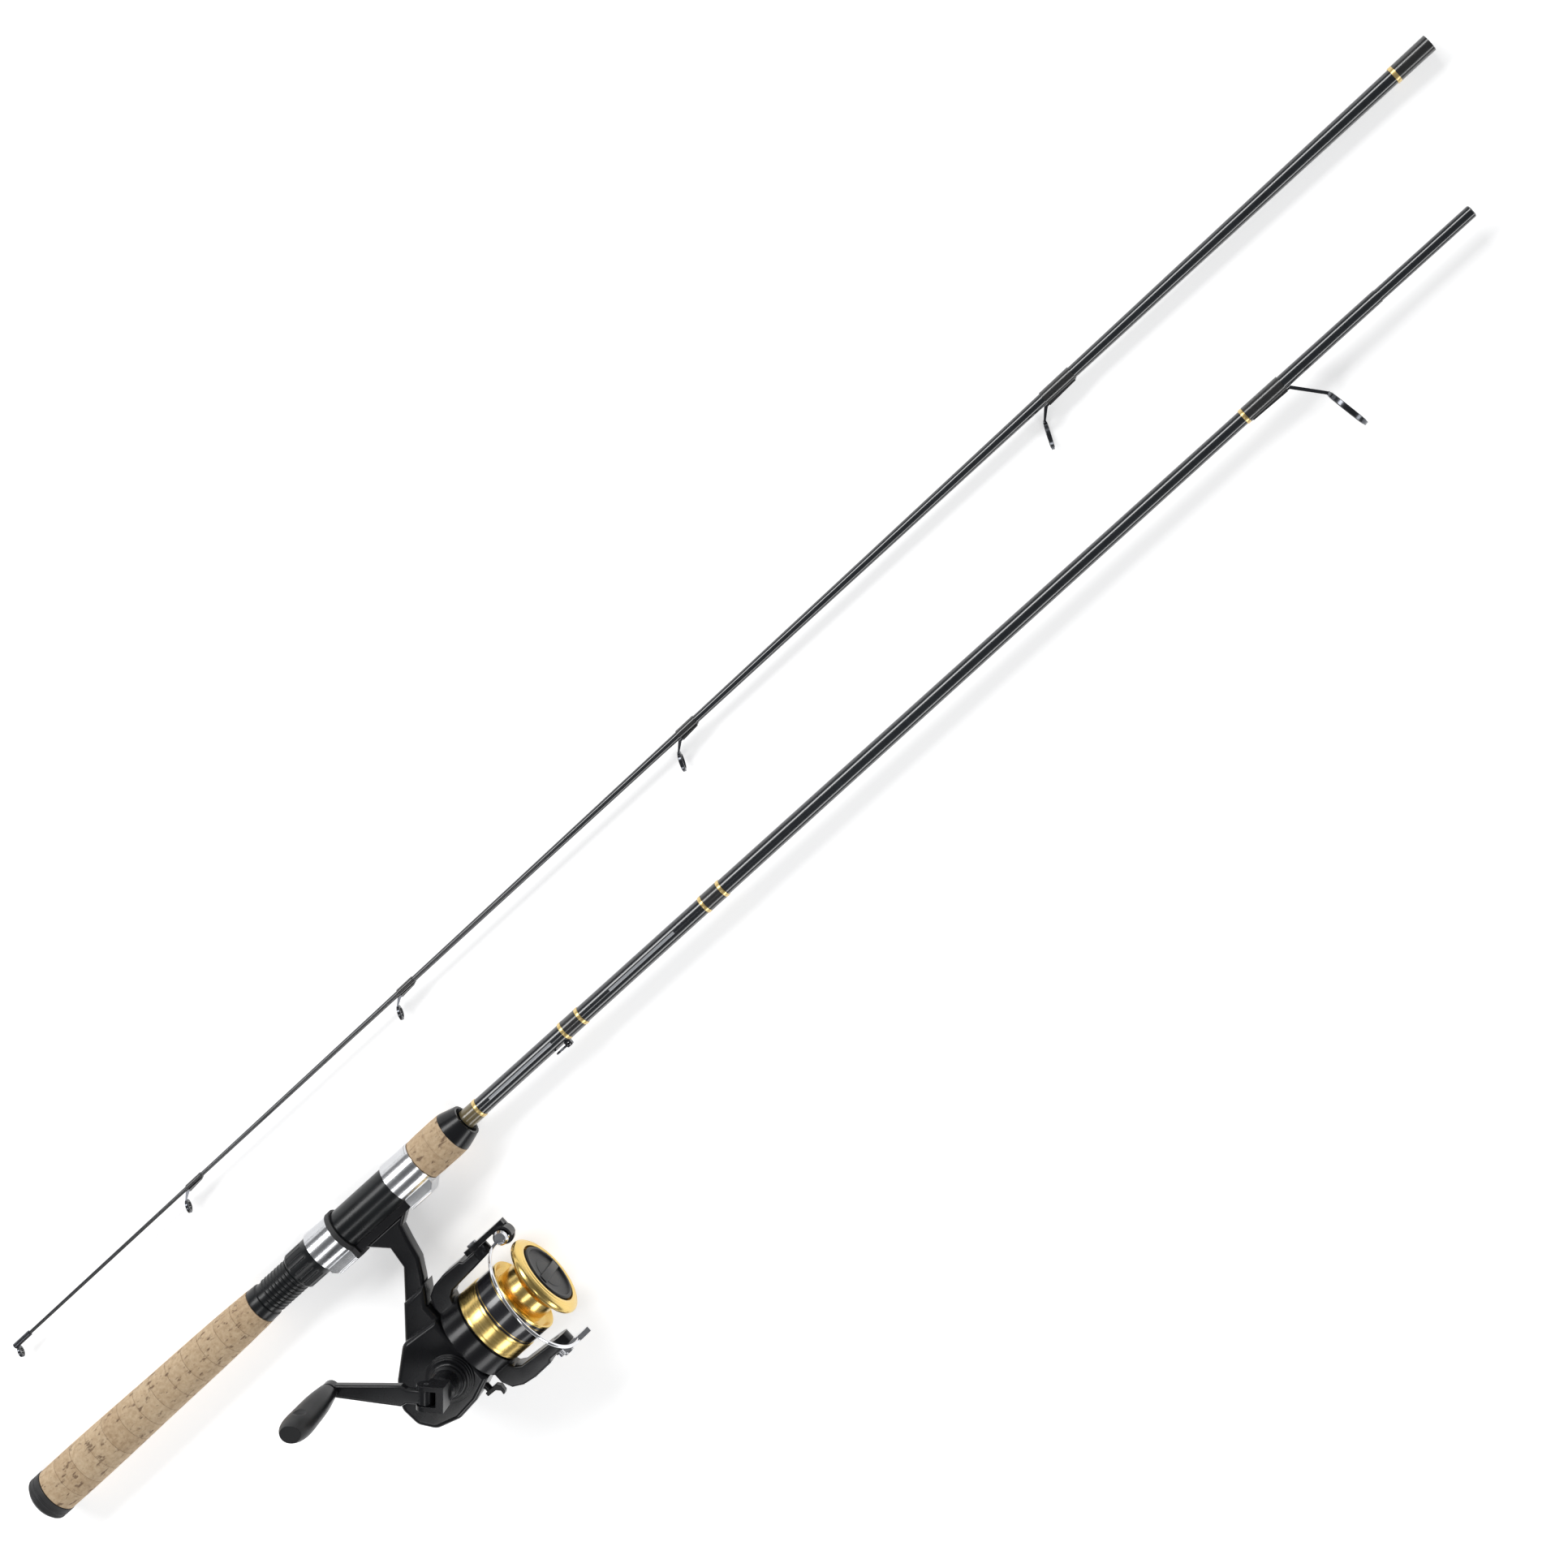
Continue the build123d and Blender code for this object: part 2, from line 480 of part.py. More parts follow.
def make_reel_body():
    """Gearbox shell with stem and foot in one casting, and the cover on its far side."""
    box = rounded_plate(GEARBOX, -BODY_HALF + 3, BODY_HALF, CORNER, BODY_FRONT - 1)
    rims = box.edges().group_by(Axis.Z)[-1]
    box = fillet(rims, 3.0)
    uprights = [(226.5, -66.5), (239.6, -50), (252, -36), (253.5, -24), (243, FOOT_TOP - 2.2),
                (276, FOOT_TOP - 2.2), (267.5, -19), (265.2, -27), (262.5, -38), (257, -47), (249.5, -57),
                (BODY_FRONT, -68.5)]
    stem = plate(uprights, -STEM_HALF, STEM_HALF)
    stem = fillet(stem.edges().group_by(Axis.Z)[-1] + stem.edges().group_by(Axis.Z)[0], 2.5)
    root = plate([(214, -80), (226, -66), (240, -50.5), (256, -50), (BODY_FRONT, -60), (BODY_FRONT, -80)],
                 -BODY_HALF + 4.2, BODY_HALF - 5)
    root = fillet(root.edges().group_by(Axis.Z)[-1] + root.edges().group_by(Axis.Z)[0], 3.0)
    foot_low = FOOT_TOP - FOOT_THICKNESS
    foot = block(FOOT_START, FOOT_START + FOOT_LENGTH, foot_low, FOOT_TOP + 3, -FOOT_WIDTH / 2, FOOT_WIDTH / 2)
    foot = fillet(foot.edges().filter_by(Axis.Y), 3.0)
    foot -= rod_x(FOOT_START - 1, FOOT_START + FOOT_LENGTH + 1, SEAT_RADIUS + 0.1)
    collar = rod_z(CRANK_X, CRANK_Y, BODY_HALF - 2, BODY_HALF + 6, 10.0)
    collar = fillet(collar.edges().sort_by(Axis.Z)[-1], 1.5)
    nose = rod_x(BODY_FRONT - 6, ROTOR_REAR + 6.5, 15.0, SPOOL_Y)
    body = box + root + stem + foot + collar + nose
    body -= rounded_plate(CAVITY, -BODY_HALF, BODY_HALF - SHELL, CAVITY_CORNER, BODY_FRONT - SHELL - 1)
    body -= rod_z(CRANK_X, CRANK_Y, BODY_HALF - SHELL - 1, BODY_HALF + 7, 5.0)
    body -= rod_x(BODY_FRONT - 3, ROTOR_REAR + 7, 8.5, SPOOL_Y)
    body -= rod_x(BODY_FRONT - 7, BODY_FRONT - SHELL + 0.5, 13.0, SPOOL_Y) & plate(CAVITY, -BODY_HALF, BODY_HALF - 3)
    lever_y = GEARBOX_BOTTOM + 3.5
    body -= rod_y(LEVER_X, lever_y - 6, lever_y + 3, 2.0 + RUNNING, 0)
    for x, y in COVER_SCREWS:
        post = rod_z(x, y, -BODY_HALF + 3, BODY_HALF - SHELL + 0.5, 2.4)
        body += post
        body -= rod_z(x, y, -BODY_HALF + 3, -BODY_HALF + 11, 1.25 + SEATED)
    add("reel_body", body)

    cover = rounded_plate(GEARBOX, -BODY_HALF, -BODY_HALF + 3, CORNER, BODY_FRONT - 1)
    cover = fillet(cover.edges().group_by(Axis.Z)[0], 1.8)
    boss = rod_z(CRANK_X, CRANK_Y, -BODY_HALF - 6, -BODY_HALF + 1, 9.5)
    boss = fillet(boss.edges().sort_by(Axis.Z)[0], 1.2)
    cover = cover + boss
    cover -= rod_z(CRANK_X, CRANK_Y, -BODY_HALF - 7, -BODY_HALF + 4, 5.0)
    cover -= rod_x(BODY_FRONT - 6, ROTOR_REAR + 7, 15.0, SPOOL_Y)
    screws = []
    for x, y in COVER_SCREWS:
        cover -= rod_z(x, y, -BODY_HALF - 1, -BODY_HALF + 4, 1.25 + SEATED)
        cover -= rod_z(x, y, -BODY_HALF - 1, -BODY_HALF + 1.4, 2.4)
        head = rod_z(x, y, -BODY_HALF + 0.2, -BODY_HALF + 1.4, 2.2)
        slot = block(x - 1.5, x + 1.5, y - 0.3, y + 0.3, -BODY_HALF + 0.1, -BODY_HALF + 0.8)
        screws.append(head + rod_z(x, y, -BODY_HALF + 1.4, -BODY_HALF + 9, 1.25) - slot)
    add("side_cover", cover)
    add("cover_screws", Compound(screws))

    bushes = [turned_up([(CRANK_SHAFT_RADIUS + RUNNING, z0), (5.0, z0), (5.0, z0 + 4), (CRANK_SHAFT_RADIUS + RUNNING, z0 + 4)],
                        CRANK_X, CRANK_Y) for z0 in (BODY_HALF - SHELL, -BODY_HALF - 1)]
    add("crank_bushes", Compound(bushes))
    pinion_tube = PINION_RADIUS - 0.5
    add("front_bearing", ring_x(ROTOR_REAR + 1, ROTOR_REAR + 6, 8.5 - SEATED, pinion_tube + RUNNING, SPOOL_Y))


def make_lever():
    """Anti-reverse lever: a stub shaft in the gearbox floor with a hooked finger tab."""
    top = GEARBOX_BOTTOM + 5.5
    low = GEARBOX_BOTTOM - 1.2
    stub = rod_y(LEVER_X, low, top, 2.0)
    tab = plate([(LEVER_X - 2.6, low), (LEVER_X + 5.0, low), (LEVER_X + 7.0, low - 2.2), (LEVER_X + 6.6, low - 6.0),
                 (LEVER_X + 4.6, low - 7.6), (LEVER_X + 5.0, low - 4.4), (LEVER_X + 3.0, low - 2.4),
                 (LEVER_X - 2.6, low - 2.2)], -2.2, 2.2)
    add("anti_reverse_lever", stub + fillet(tab.edges().filter_by(Axis.Z), 0.5))


# ---------------------------------------------------------------- gear train
def toothed_disc(x, y, z0, z1, teeth, radius, bore):
    """Spur gear on a Z axis: a disc with straight-sided teeth."""
    depth = 0.9
    gear = rod_z(x, y, z0, z1, radius - depth)
    width = pi * (radius - depth / 2) / teeth
    for step in range(teeth):
        tooth = Pos(radius - depth, 0, 0) * Box(2 * depth, width * 0.9, z1 - z0)
        gear += Pos(x, y, (z0 + z1) / 2) * Rot(0, 0, 360 * step / teeth) * tooth
    if bore:
        gear -= rod_z(x, y, z0, z1, bore)
    return gear & rod_z(x, y, z0, z1, radius)


TRANSFER_RADIUS = GEAR_MODULE * TRANSFER_TEETH / 2
OSC_RADIUS = GEAR_MODULE * OSC_TEETH / 2
OSC_X = CRANK_X - TRANSFER_RADIUS - OSC_RADIUS - SLIP
OSC_Y = CRANK_Y
OSC_PIN = STROKE / 2


def make_gears():
    """Drive gear with its crank shaft, pinion, oscillating gear, slider and main shaft."""
    face_z = PINION_RADIUS + SLIP
    disc = rod_z(CRANK_X, CRANK_Y, face_z + 1.2, face_z + 4.0, DRIVE_RADIUS)
    for step in range(DRIVE_TEETH):
        rib = Pos((DRIVE_FACE_INNER + DRIVE_RADIUS) / 2, 0, face_z + 0.9)
        rib *= Box(DRIVE_RADIUS - DRIVE_FACE_INNER - 0.2, 0.8, 1.8)
        disc += Pos(CRANK_X, CRANK_Y, 0) * Rot(0, 0, 360 * step / DRIVE_TEETH) * rib
    shaft = rod_z(CRANK_X, CRANK_Y, -BODY_HALF - 7, HUB_TOP - 8, CRANK_SHAFT_RADIUS)
    transfer = toothed_disc(CRANK_X, CRANK_Y, -8.0, -5.2, TRANSFER_TEETH, TRANSFER_RADIUS, 0)
    add("drive_gear", disc + shaft + transfer)

    tube = PINION_RADIUS - 0.5
    start = CRANK_X + 5.4
    end = BODY_FRONT + 0.8
    pinion = rod_x(start, end, PINION_RADIUS - 1.3, SPOOL_Y)
    for step in range(PINION_TEETH):
        tooth = Pos(0, 0, PINION_RADIUS - 1.0) * Box(end - start, 1.5, 2.0)
        pinion += Pos((start + end) / 2, SPOOL_Y, 0) * Rot(360 * step / PINION_TEETH, 0, 0) * tooth
    pinion += rod_x(end, ROTOR_REAR + 19, tube, SPOOL_Y)
    add("pinion_gear", pinion - rod_x(start, ROTOR_REAR + 19, SHAFT_RADIUS + RUNNING, SPOOL_Y))

    osc = toothed_disc(OSC_X, OSC_Y, -8.0, -5.2, OSC_TEETH, OSC_RADIUS, 1.5 + RUNNING)
    plate_low = -4.4
    osc += rod_z(OSC_X - OSC_PIN, OSC_Y, -5.2, plate_low - SLIP, 1.0)
    add("oscillating_gear", osc)
    stud = rod_z(OSC_X, OSC_Y, -BODY_HALF + 3, -5.3, 1.5)
    add("gear_stud", stud)

    slider_x = OSC_X - OSC_PIN
    half = 2.6
    slider = block(slider_x - half, slider_x + half, CRANK_Y - 8, SPOOL_Y + 3.4, plate_low, -2.6)
    slider -= block(slider_x - 1.3, slider_x + 1.3, CRANK_Y - 7, CRANK_Y + 3.4, plate_low, -2.6)
    slider += block(slider_x - half, slider_x + half, SPOOL_Y - 3.4, SPOOL_Y + 3.4, -2.6, 3.2)
    shaft_start = slider_x - half
    add("oscillating_slider", slider - rod_x(shaft_start, slider_x + half, SHAFT_RADIUS + SEATED, SPOOL_Y))
    add("main_shaft", rod_x(shaft_start, SPOOL_FRONT - 5, SHAFT_RADIUS, SPOOL_Y))


# ---------------------------------------------------------------- rotor and bail
def make_rotor():
    """Cup with its two arms, the nut that holds it and the bail's pivot screws."""
    cup_end = ROTOR_REAR + ROTOR_CUP_LENGTH
    drum_end = ROTOR_REAR + DRUM_LENGTH
    wall = 1.7
    web = ROTOR_REAR + 9
    tube = PINION_RADIUS - 0.5
    cup = turned([(ROTOR_REAR, ROTOR_RADIUS - 2.6), (ROTOR_REAR, ROTOR_RADIUS - 0.8), (ROTOR_REAR + 0.8, ROTOR_RADIUS),
                  (cup_end, ROTOR_RADIUS), (cup_end, DRUM_RADIUS), (drum_end, DRUM_RADIUS),
                  (drum_end, DRUM_RADIUS - wall), (web + 3.2, DRUM_RADIUS - wall), (web + 3.2, 8.5),
                  (web + 5.5, 8.5), (web + 5.5, tube + SEATED), (web - 2, tube + SEATED), (web - 2, 7.5),
                  (web, 7.5), (web, ROTOR_RADIUS - 2.6)], SPOOL_Y)
    reach = ARM_REACH
    seat = BAIL_PLATE_IN - SLIP
    side = [(ROTOR_REAR + 0.4, 21), (ROTOR_REAR + 0.4, 27), (ROTOR_REAR + 3.2, reach - 4.2), (ROTOR_REAR + 9, reach - 1.2),
            (ROTOR_REAR + 17, reach), (PIVOT_X - 9.5, reach - 0.4), (PIVOT_X - 8.2, seat), (PIVOT_X + 7, seat),
            (PIVOT_X + 7, 29.4), (PIVOT_X - 5, 28.4), (cup_end + 2, 27.2), (cup_end - 1.5, 25.2), (cup_end - 3, 21)]
    arm = plate([(x, SPOOL_Y + r) for x, r in side], -ARM_HALF, ARM_HALF)
    arm = fillet(arm.edges().group_by(Axis.Z)[-1] + arm.edges().group_by(Axis.Z)[0], 1.2)
    corner_cut = block(PIVOT_X, PIVOT_X + 12, SPOOL_Y + 26, SPOOL_Y + 38, -10, 10)
    corner_cut -= rod_y(PIVOT_X, SPOOL_Y + 20, SPOOL_Y + 40, 7.0)
    arm = arm - corner_cut
    arm -= rod_y(PIVOT_X, SPOOL_Y + 28, SPOOL_Y + 38, 1.5 + SEATED)
    opposite = mirror(arm, Plane.XZ.offset(-SPOOL_Y))
    clear = rod_x(cup_end, drum_end + 20, SKIRT_RADIUS + SLIP, SPOOL_Y) - rod_x(cup_end, drum_end, DRUM_RADIUS, SPOOL_Y)
    add("rotor", cup + arm + opposite - clear)
    hexagon = extrude(Plane.YZ.offset(web + 5.5) * RegularPolygon(7.0, 6), 3.0)
    add("rotor_nut", Pos(0, SPOOL_Y, 0) * hexagon - rod_x(web + 5, web + 9, tube + SEATED, SPOOL_Y))
    screws = []
    for side in (1, -1):
        shank = rod_y(PIVOT_X, SPOOL_Y + side * (seat - 5.5), SPOOL_Y + side * BAIL_PLATE_OUT, 1.5)
        head = rod_y(PIVOT_X, SPOOL_Y + side * (BAIL_PLATE_OUT + 0.1), SPOOL_Y + side * (BAIL_PLATE_OUT + 1.3), 3.0)
        neck = rod_y(PIVOT_X, SPOOL_Y + side * (BAIL_PLATE_OUT - 0.5), SPOOL_Y + side * (BAIL_PLATE_OUT + 0.2), 1.5)
        slot = block(PIVOT_X - 2.4, PIVOT_X + 2.4, *sorted([SPOOL_Y + side * (BAIL_PLATE_OUT + 0.8),
                                                          SPOOL_Y + side * (BAIL_PLATE_OUT + 2)]), -0.35, 0.35)
        screws.append(shank + neck + head - slot)
    add("pivot_screws", Compound(screws))


def side_plate(outline, side):
    """Bail side plate: an (x, z) outline between the plate's two distances from the spool axis."""
    near = SPOOL_Y + side * BAIL_PLATE_IN
    face = make_face(Plane.XZ.offset(-near) * Polyline(*outline, close=True))
    return extrude(face, (BAIL_PLATE_OUT - BAIL_PLATE_IN) * -side)


def make_bail():
    """Bail arm with the line roller, the wire round the spool and the chromed holder on the far side."""
    roller_y = SPOOL_Y + ROLLER_REACH
    pivot_bore = 1.5 + RUNNING
    arm = side_plate([(PIVOT_X - 3, -6), (ROLLER_X + 2, -6), (ROLLER_X + 5, -3), (ROLLER_X + 5, 0), (ROLLER_X + 2, 2.6),
                      (PIVOT_X + 4, 4.5), (PIVOT_X - 3, 6)], 1)
    arm += rod_y(PIVOT_X, SPOOL_Y + BAIL_PLATE_IN, SPOOL_Y + BAIL_PLATE_OUT, 6.4)
    cheek = rod_z(ROLLER_X, roller_y, -6.0, -ROLLER_HALF - 0.4, 5.6)
    cheek += block(ROLLER_X - 5.0, ROLLER_X + 5.0, roller_y, SPOOL_Y + BAIL_PLATE_OUT, -6.0, -ROLLER_HALF - 0.4)
    hood = (rod_z(ROLLER_X, roller_y, -6.0, 2.6, 5.9) - rod_z(ROLLER_X, roller_y, -6.5, 3, ROLLER_RADIUS + 0.9))
    hood &= block(ROLLER_X - 1.5, ROLLER_X + 10, roller_y - 3.0, roller_y + 10, -7, 4)
    arm = arm + cheek + hood
    arm -= rod_y(PIVOT_X, SPOOL_Y + 30, SPOOL_Y + 40, pivot_bore)
    arm -= rod_z(ROLLER_X, roller_y, -7, 5, 1.4 + SEATED)

    roller = turned_up([(1.4 + RUNNING, -ROLLER_HALF), (ROLLER_RADIUS, -ROLLER_HALF), (ROLLER_RADIUS, -ROLLER_HALF + 0.8),
                        (ROLLER_RADIUS - 0.7, -0.6), (ROLLER_RADIUS - 0.7, 0.6), (ROLLER_RADIUS, ROLLER_HALF - 0.8),
                        (ROLLER_RADIUS, ROLLER_HALF), (1.4 + RUNNING, ROLLER_HALF)], ROLLER_X, roller_y)

    start = (ROLLER_X - 3.4, roller_y - 0.6, 4.5)
    middle = (PIVOT_X + 7.8, SPOOL_Y + 1, BAIL_BULGE)
    end = (PIVOT_X + 11, SPOOL_Y - (BAIL_PLATE_IN + BAIL_PLATE_OUT) / 2, 3.0)
    path = ThreePointArc(start, middle, end)
    section = Plane(origin=path @ 0, z_dir=path % 0) * Circle(BAIL_WIRE_RADIUS)
    wire = sweep(section, path)
    collar = turned_up([(0, ROLLER_HALF + 0.4), (4.2, ROLLER_HALF + 0.4), (4.2, ROLLER_HALF + 1.4), (3.2, 6.0), (0, 6.0)],
                       ROLLER_X, roller_y)
    wire = wire + collar - rod_z(ROLLER_X, roller_y, 3, 7, 1.4 + SEATED)
    screw = rod_z(ROLLER_X, roller_y, -6, 6.0, 1.4) + rod_z(ROLLER_X, roller_y, 6.0, 7.4, 2.2)
    screw -= block(ROLLER_X - 2.2, ROLLER_X + 2.2, roller_y - 0.35, roller_y + 0.35, 6.9, 8)

    holder = side_plate([(PIVOT_X - 2, -6), (PIVOT_X + 6, -5), (PIVOT_X + 17, -1), (PIVOT_X + 17.5, 1.2),
                         (PIVOT_X + 14, 4.4), (PIVOT_X + 6, 5.4), (PIVOT_X - 2, 6)], -1)
    holder += rod_y(PIVOT_X, SPOOL_Y - BAIL_PLATE_OUT, SPOOL_Y - BAIL_PLATE_IN, 6.2)
    holder -= rod_y(PIVOT_X, SPOOL_Y - 40, SPOOL_Y - 30, pivot_bore)
    holder -= wire
    add("bail_arm", arm)
    add("line_roller", roller)
    add("bail_wire", wire)
    add("roller_screw", screw)
    add("bail_holder", holder)


# ---------------------------------------------------------------- spool and drag
def make_spool():
    """Skirted spool, its dark band, the drag washers and the front drag knob."""
    skirt_end = SPOOL_REAR + SKIRT_LENGTH
    band_end = skirt_end + BAND_LENGTH
    web = SPOOL_REAR + 21.0
    arbor_start = web + 1.7
    arbor_end = arbor_start + ARBOR_LENGTH
    bore = SHAFT_RADIUS + RUNNING
    pocket = arbor_end - 5.8
    stack = DRAG_STACK_RADIUS + 0.4
    seat = KNOB_RADIUS + 1.0
    spool = turned([
        (pocket, bore), (pocket, stack), (SPOOL_FRONT - 5.6, stack), (SPOOL_FRONT - 5.6, seat),
        (SPOOL_FRONT - 0.4, seat), (SPOOL_FRONT, seat + 0.8), (SPOOL_FRONT - 0.5, LIP_RADIUS - 3.0),
        (SPOOL_FRONT - 2.2, LIP_RADIUS - 0.7), (SPOOL_FRONT - 3.8, LIP_RADIUS), (SPOOL_FRONT - 5.4, LIP_RADIUS - 0.6),
        (SPOOL_FRONT - 7.6, LIP_RADIUS - 5.4), (arbor_end, ARBOR_RADIUS), (arbor_start, ARBOR_RADIUS),
        (arbor_start + 1.0, ARBOR_RADIUS + 3.4), (band_end + 1.6, BAND_RADIUS - 1.2), (band_end + 1.4, BAND_RADIUS - 0.1),
        (band_end, BAND_RADIUS), (band_end, BAND_RADIUS - 0.8), (skirt_end, BAND_RADIUS - 0.8), (skirt_end, SKIRT_RADIUS),
        (SPOOL_REAR + 0.4, SKIRT_RADIUS), (SPOOL_REAR, SKIRT_RADIUS - 0.4), (SPOOL_REAR, SKIRT_RADIUS - 0.9),
        (skirt_end - 1.5, SKIRT_RADIUS - 0.9), (skirt_end, SKIRT_RADIUS - 2.3), (web, SKIRT_RADIUS - 2.3),
        (web, ARBOR_RADIUS - 1.8), (pocket - 2, ARBOR_RADIUS - 1.8), (pocket - 2, 6.0), (web - 2.5, 6.0),
        (web - 2.5, bore)], SPOOL_Y)
    add("spool", spool)
    add("spool_band", ring_x(skirt_end + SEATED, band_end - SEATED, BAND_RADIUS, BAND_RADIUS - 0.8 + SEATED, SPOOL_Y))
    washers = []
    for step in range(3):
        x = pocket + 0.05 + step * 1.05
        washers.append(ring_x(x, x + 1.0, DRAG_STACK_RADIUS, SHAFT_RADIUS + RUNNING, SPOOL_Y))
    add("drag_washers", Compound(washers))

    face = SPOOL_FRONT + 0.7
    stack_end = pocket + 3.2 + SLIP
    knob = turned([(stack_end, 0), (stack_end, DRAG_STACK_RADIUS), (SPOOL_FRONT - 5.2, DRAG_STACK_RADIUS),
                   (SPOOL_FRONT - 5.2, KNOB_RADIUS), (face - 1.0, KNOB_RADIUS), (face - 0.4, KNOB_RADIUS - 0.7),
                   (face - 0.4, KNOB_RADIUS - 2.0), (face - 1.6, KNOB_RADIUS - 2.6), (face - 1.6, 0)], SPOOL_Y)
    grip = block(face - 1.7, face, SPOOL_Y - 2.4, SPOOL_Y + 2.4, -KNOB_RADIUS + 1.5, KNOB_RADIUS - 1.5)
    grip = fillet(grip.edges().filter_by(Axis.Z).sort_by(Axis.X)[-2:], 0.8)
    add("drag_knob", knob + grip - rod_x(stack_end - 1, SPOOL_FRONT - 4.8, SHAFT_RADIUS + RUNNING, SPOOL_Y))


# ---------------------------------------------------------------- handle
def make_crank_handle():
    """Hub with its fork, folding arm, knob on its pin, and the screw cap on the far side."""
    out = Pos(CRANK_X, CRANK_Y, 0) * Rot(0, 0, ARM_ANGLE)
    base = BODY_HALF + 6 + SLIP
    hub = turned_up([(0, base), (HUB_RADIUS + 1.2, base), (HUB_RADIUS + 1.2, base + 1.2), (HUB_RADIUS, base + 2.6),
                     (HUB_RADIUS, HUB_TOP - 1), (HUB_RADIUS - 1, HUB_TOP), (0, HUB_TOP)])
    hub -= rod_z(0, 0, base, HUB_TOP - 8, CRANK_SHAFT_RADIUS + SEATED)
    for side in (-1, 1):
        inner = side * (TONGUE_HALF + 0.3)
        outer = side * (TONGUE_HALF + 2.9)
        ear = rod_y(FOLD_OFFSET, inner, outer, FORK_RADIUS, FOLD_HEIGHT)
        ear += block(-5.5, FOLD_OFFSET, min(inner, outer), max(inner, outer), HUB_TOP - 1, FOLD_HEIGHT + FORK_RADIUS)
        hub += ear
    back = block(-5.5, -1.4, -TONGUE_HALF - 2.9, TONGUE_HALF + 2.9, HUB_TOP - 1, FOLD_HEIGHT + FORK_RADIUS)
    back = fillet(back.edges().filter_by(Axis.Z).sort_by(Axis.X)[:2], 1.5)
    hub += back
    hub -= rod_y(FOLD_OFFSET, -20, 20, 1.5 + SEATED, FOLD_HEIGHT)
    add("handle_hub", out * hub)
    add("fold_pin", out * rod_y(FOLD_OFFSET, -TONGUE_HALF - 2.9, TONGUE_HALF + 2.9, 1.5, FOLD_HEIGHT))

    sides = [(FOLD_OFFSET, -TONGUE_HALF), (15, -TONGUE_HALF), (18, -5.7), (30, -5.0), (ARM_LENGTH, -3.2),
             (ARM_LENGTH, 3.2), (30, 5.0), (18, 5.7), (15, TONGUE_HALF), (FOLD_OFFSET, TONGUE_HALF)]
    arm = plate(sides, FOLD_HEIGHT - 3.2, FOLD_HEIGHT + 3.2)
    arm = fillet(arm.edges().group_by(Axis.Z)[-1] + arm.edges().group_by(Axis.Z)[0], 1.3)
    arm += rod_y(FOLD_OFFSET, -TONGUE_HALF, TONGUE_HALF, 4.3, FOLD_HEIGHT)
    end_boss = rod_z(ARM_LENGTH, 0, FOLD_HEIGHT - 3.2, FOLD_HEIGHT + 4.2, 4.6)
    arm += fillet(end_boss.edges().sort_by(Axis.Z)[0], 1.3)
    arm -= rod_y(FOLD_OFFSET, -20, 20, 1.5 + RUNNING, FOLD_HEIGHT)
    arm -= rod_z(ARM_LENGTH, 0, FOLD_HEIGHT - 2, FOLD_HEIGHT + 5, KNOB_PIN_RADIUS + SEATED)
    add("handle_arm", out * arm)

    knob_end = KNOB_START + KNOB_LENGTH
    pin = rod_z(ARM_LENGTH, 0, FOLD_HEIGHT - 2, knob_end - 5, KNOB_PIN_RADIUS)
    pin += rod_z(ARM_LENGTH, 0, FOLD_HEIGHT + 4.2, KNOB_START - SLIP, 4.0)
    add("knob_pin", out * pin)
    stations = [(0, 5.2, 5.2), (0.16, 6.4, 5.8), (0.45, 7.8, 6.0), (0.72, 8.3, 6.3), (0.92, 7.4, 5.9), (1.0, 5.6, 4.6)]
    sections = []
    for share, half_x, half_y in stations:
        level = Plane.XY.offset(KNOB_START + share * KNOB_LENGTH)
        sections.append(level * Pos(ARM_LENGTH, 0) * Ellipse(half_x, half_y))
    knob = loft(sections)
    dimple_z = KNOB_START + 0.74 * KNOB_LENGTH
    for side in (-1, 1):
        knob -= Pos(ARM_LENGTH, side * 16.6, dimple_z) * Sphere(11.4)
    knob -= rod_z(ARM_LENGTH, 0, KNOB_START - 1, knob_end - 5 + SLIP, KNOB_PIN_RADIUS + RUNNING)
    add("handle_knob", out * knob)

    low = -SCREW_CAP_OUT
    top = -BODY_HALF - 7 - SLIP
    cap = turned_up([(0, low), (SCREW_CAP_RADIUS - 1.0, low), (SCREW_CAP_RADIUS, low + 1.0), (SCREW_CAP_RADIUS, top - 0.6),
                     (SCREW_CAP_RADIUS - 0.6, top), (0, top)])
    for step in range(12):
        turn = 2 * pi * step / 12
        cap -= rod_z((SCREW_CAP_RADIUS + 0.4) * cos(turn), (SCREW_CAP_RADIUS + 0.4) * sin(turn), low + 2, top - 1.4, 0.9)
    add("screw_cap", Pos(CRANK_X, CRANK_Y, 0) * cap)


make_handle()
make_butt_blank()
make_butt_wraps()
make_seat_hardware()
make_keeper()
make_guides()
make_tip_section()
make_reel_body()
make_lever()
make_gears()
make_rotor()
make_bail()
make_spool()
make_crank_handle()

for name, shape in nodes.items():
    export_step(shape, f"parts/{name}.step")
print(len(nodes), "nodes, roll", round(ROLL, 3))
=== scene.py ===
"""Looks of a two-piece spinning rod and its fixed-spool reel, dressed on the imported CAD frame."""
from __future__ import annotations

import json
import logging
from dataclasses import dataclass
from enum import Enum
from math import atan2, cos, pi, radians, sin, sqrt
from typing import Iterable, Sequence

import bmesh
import bpy
from mathutils import Matrix, Vector


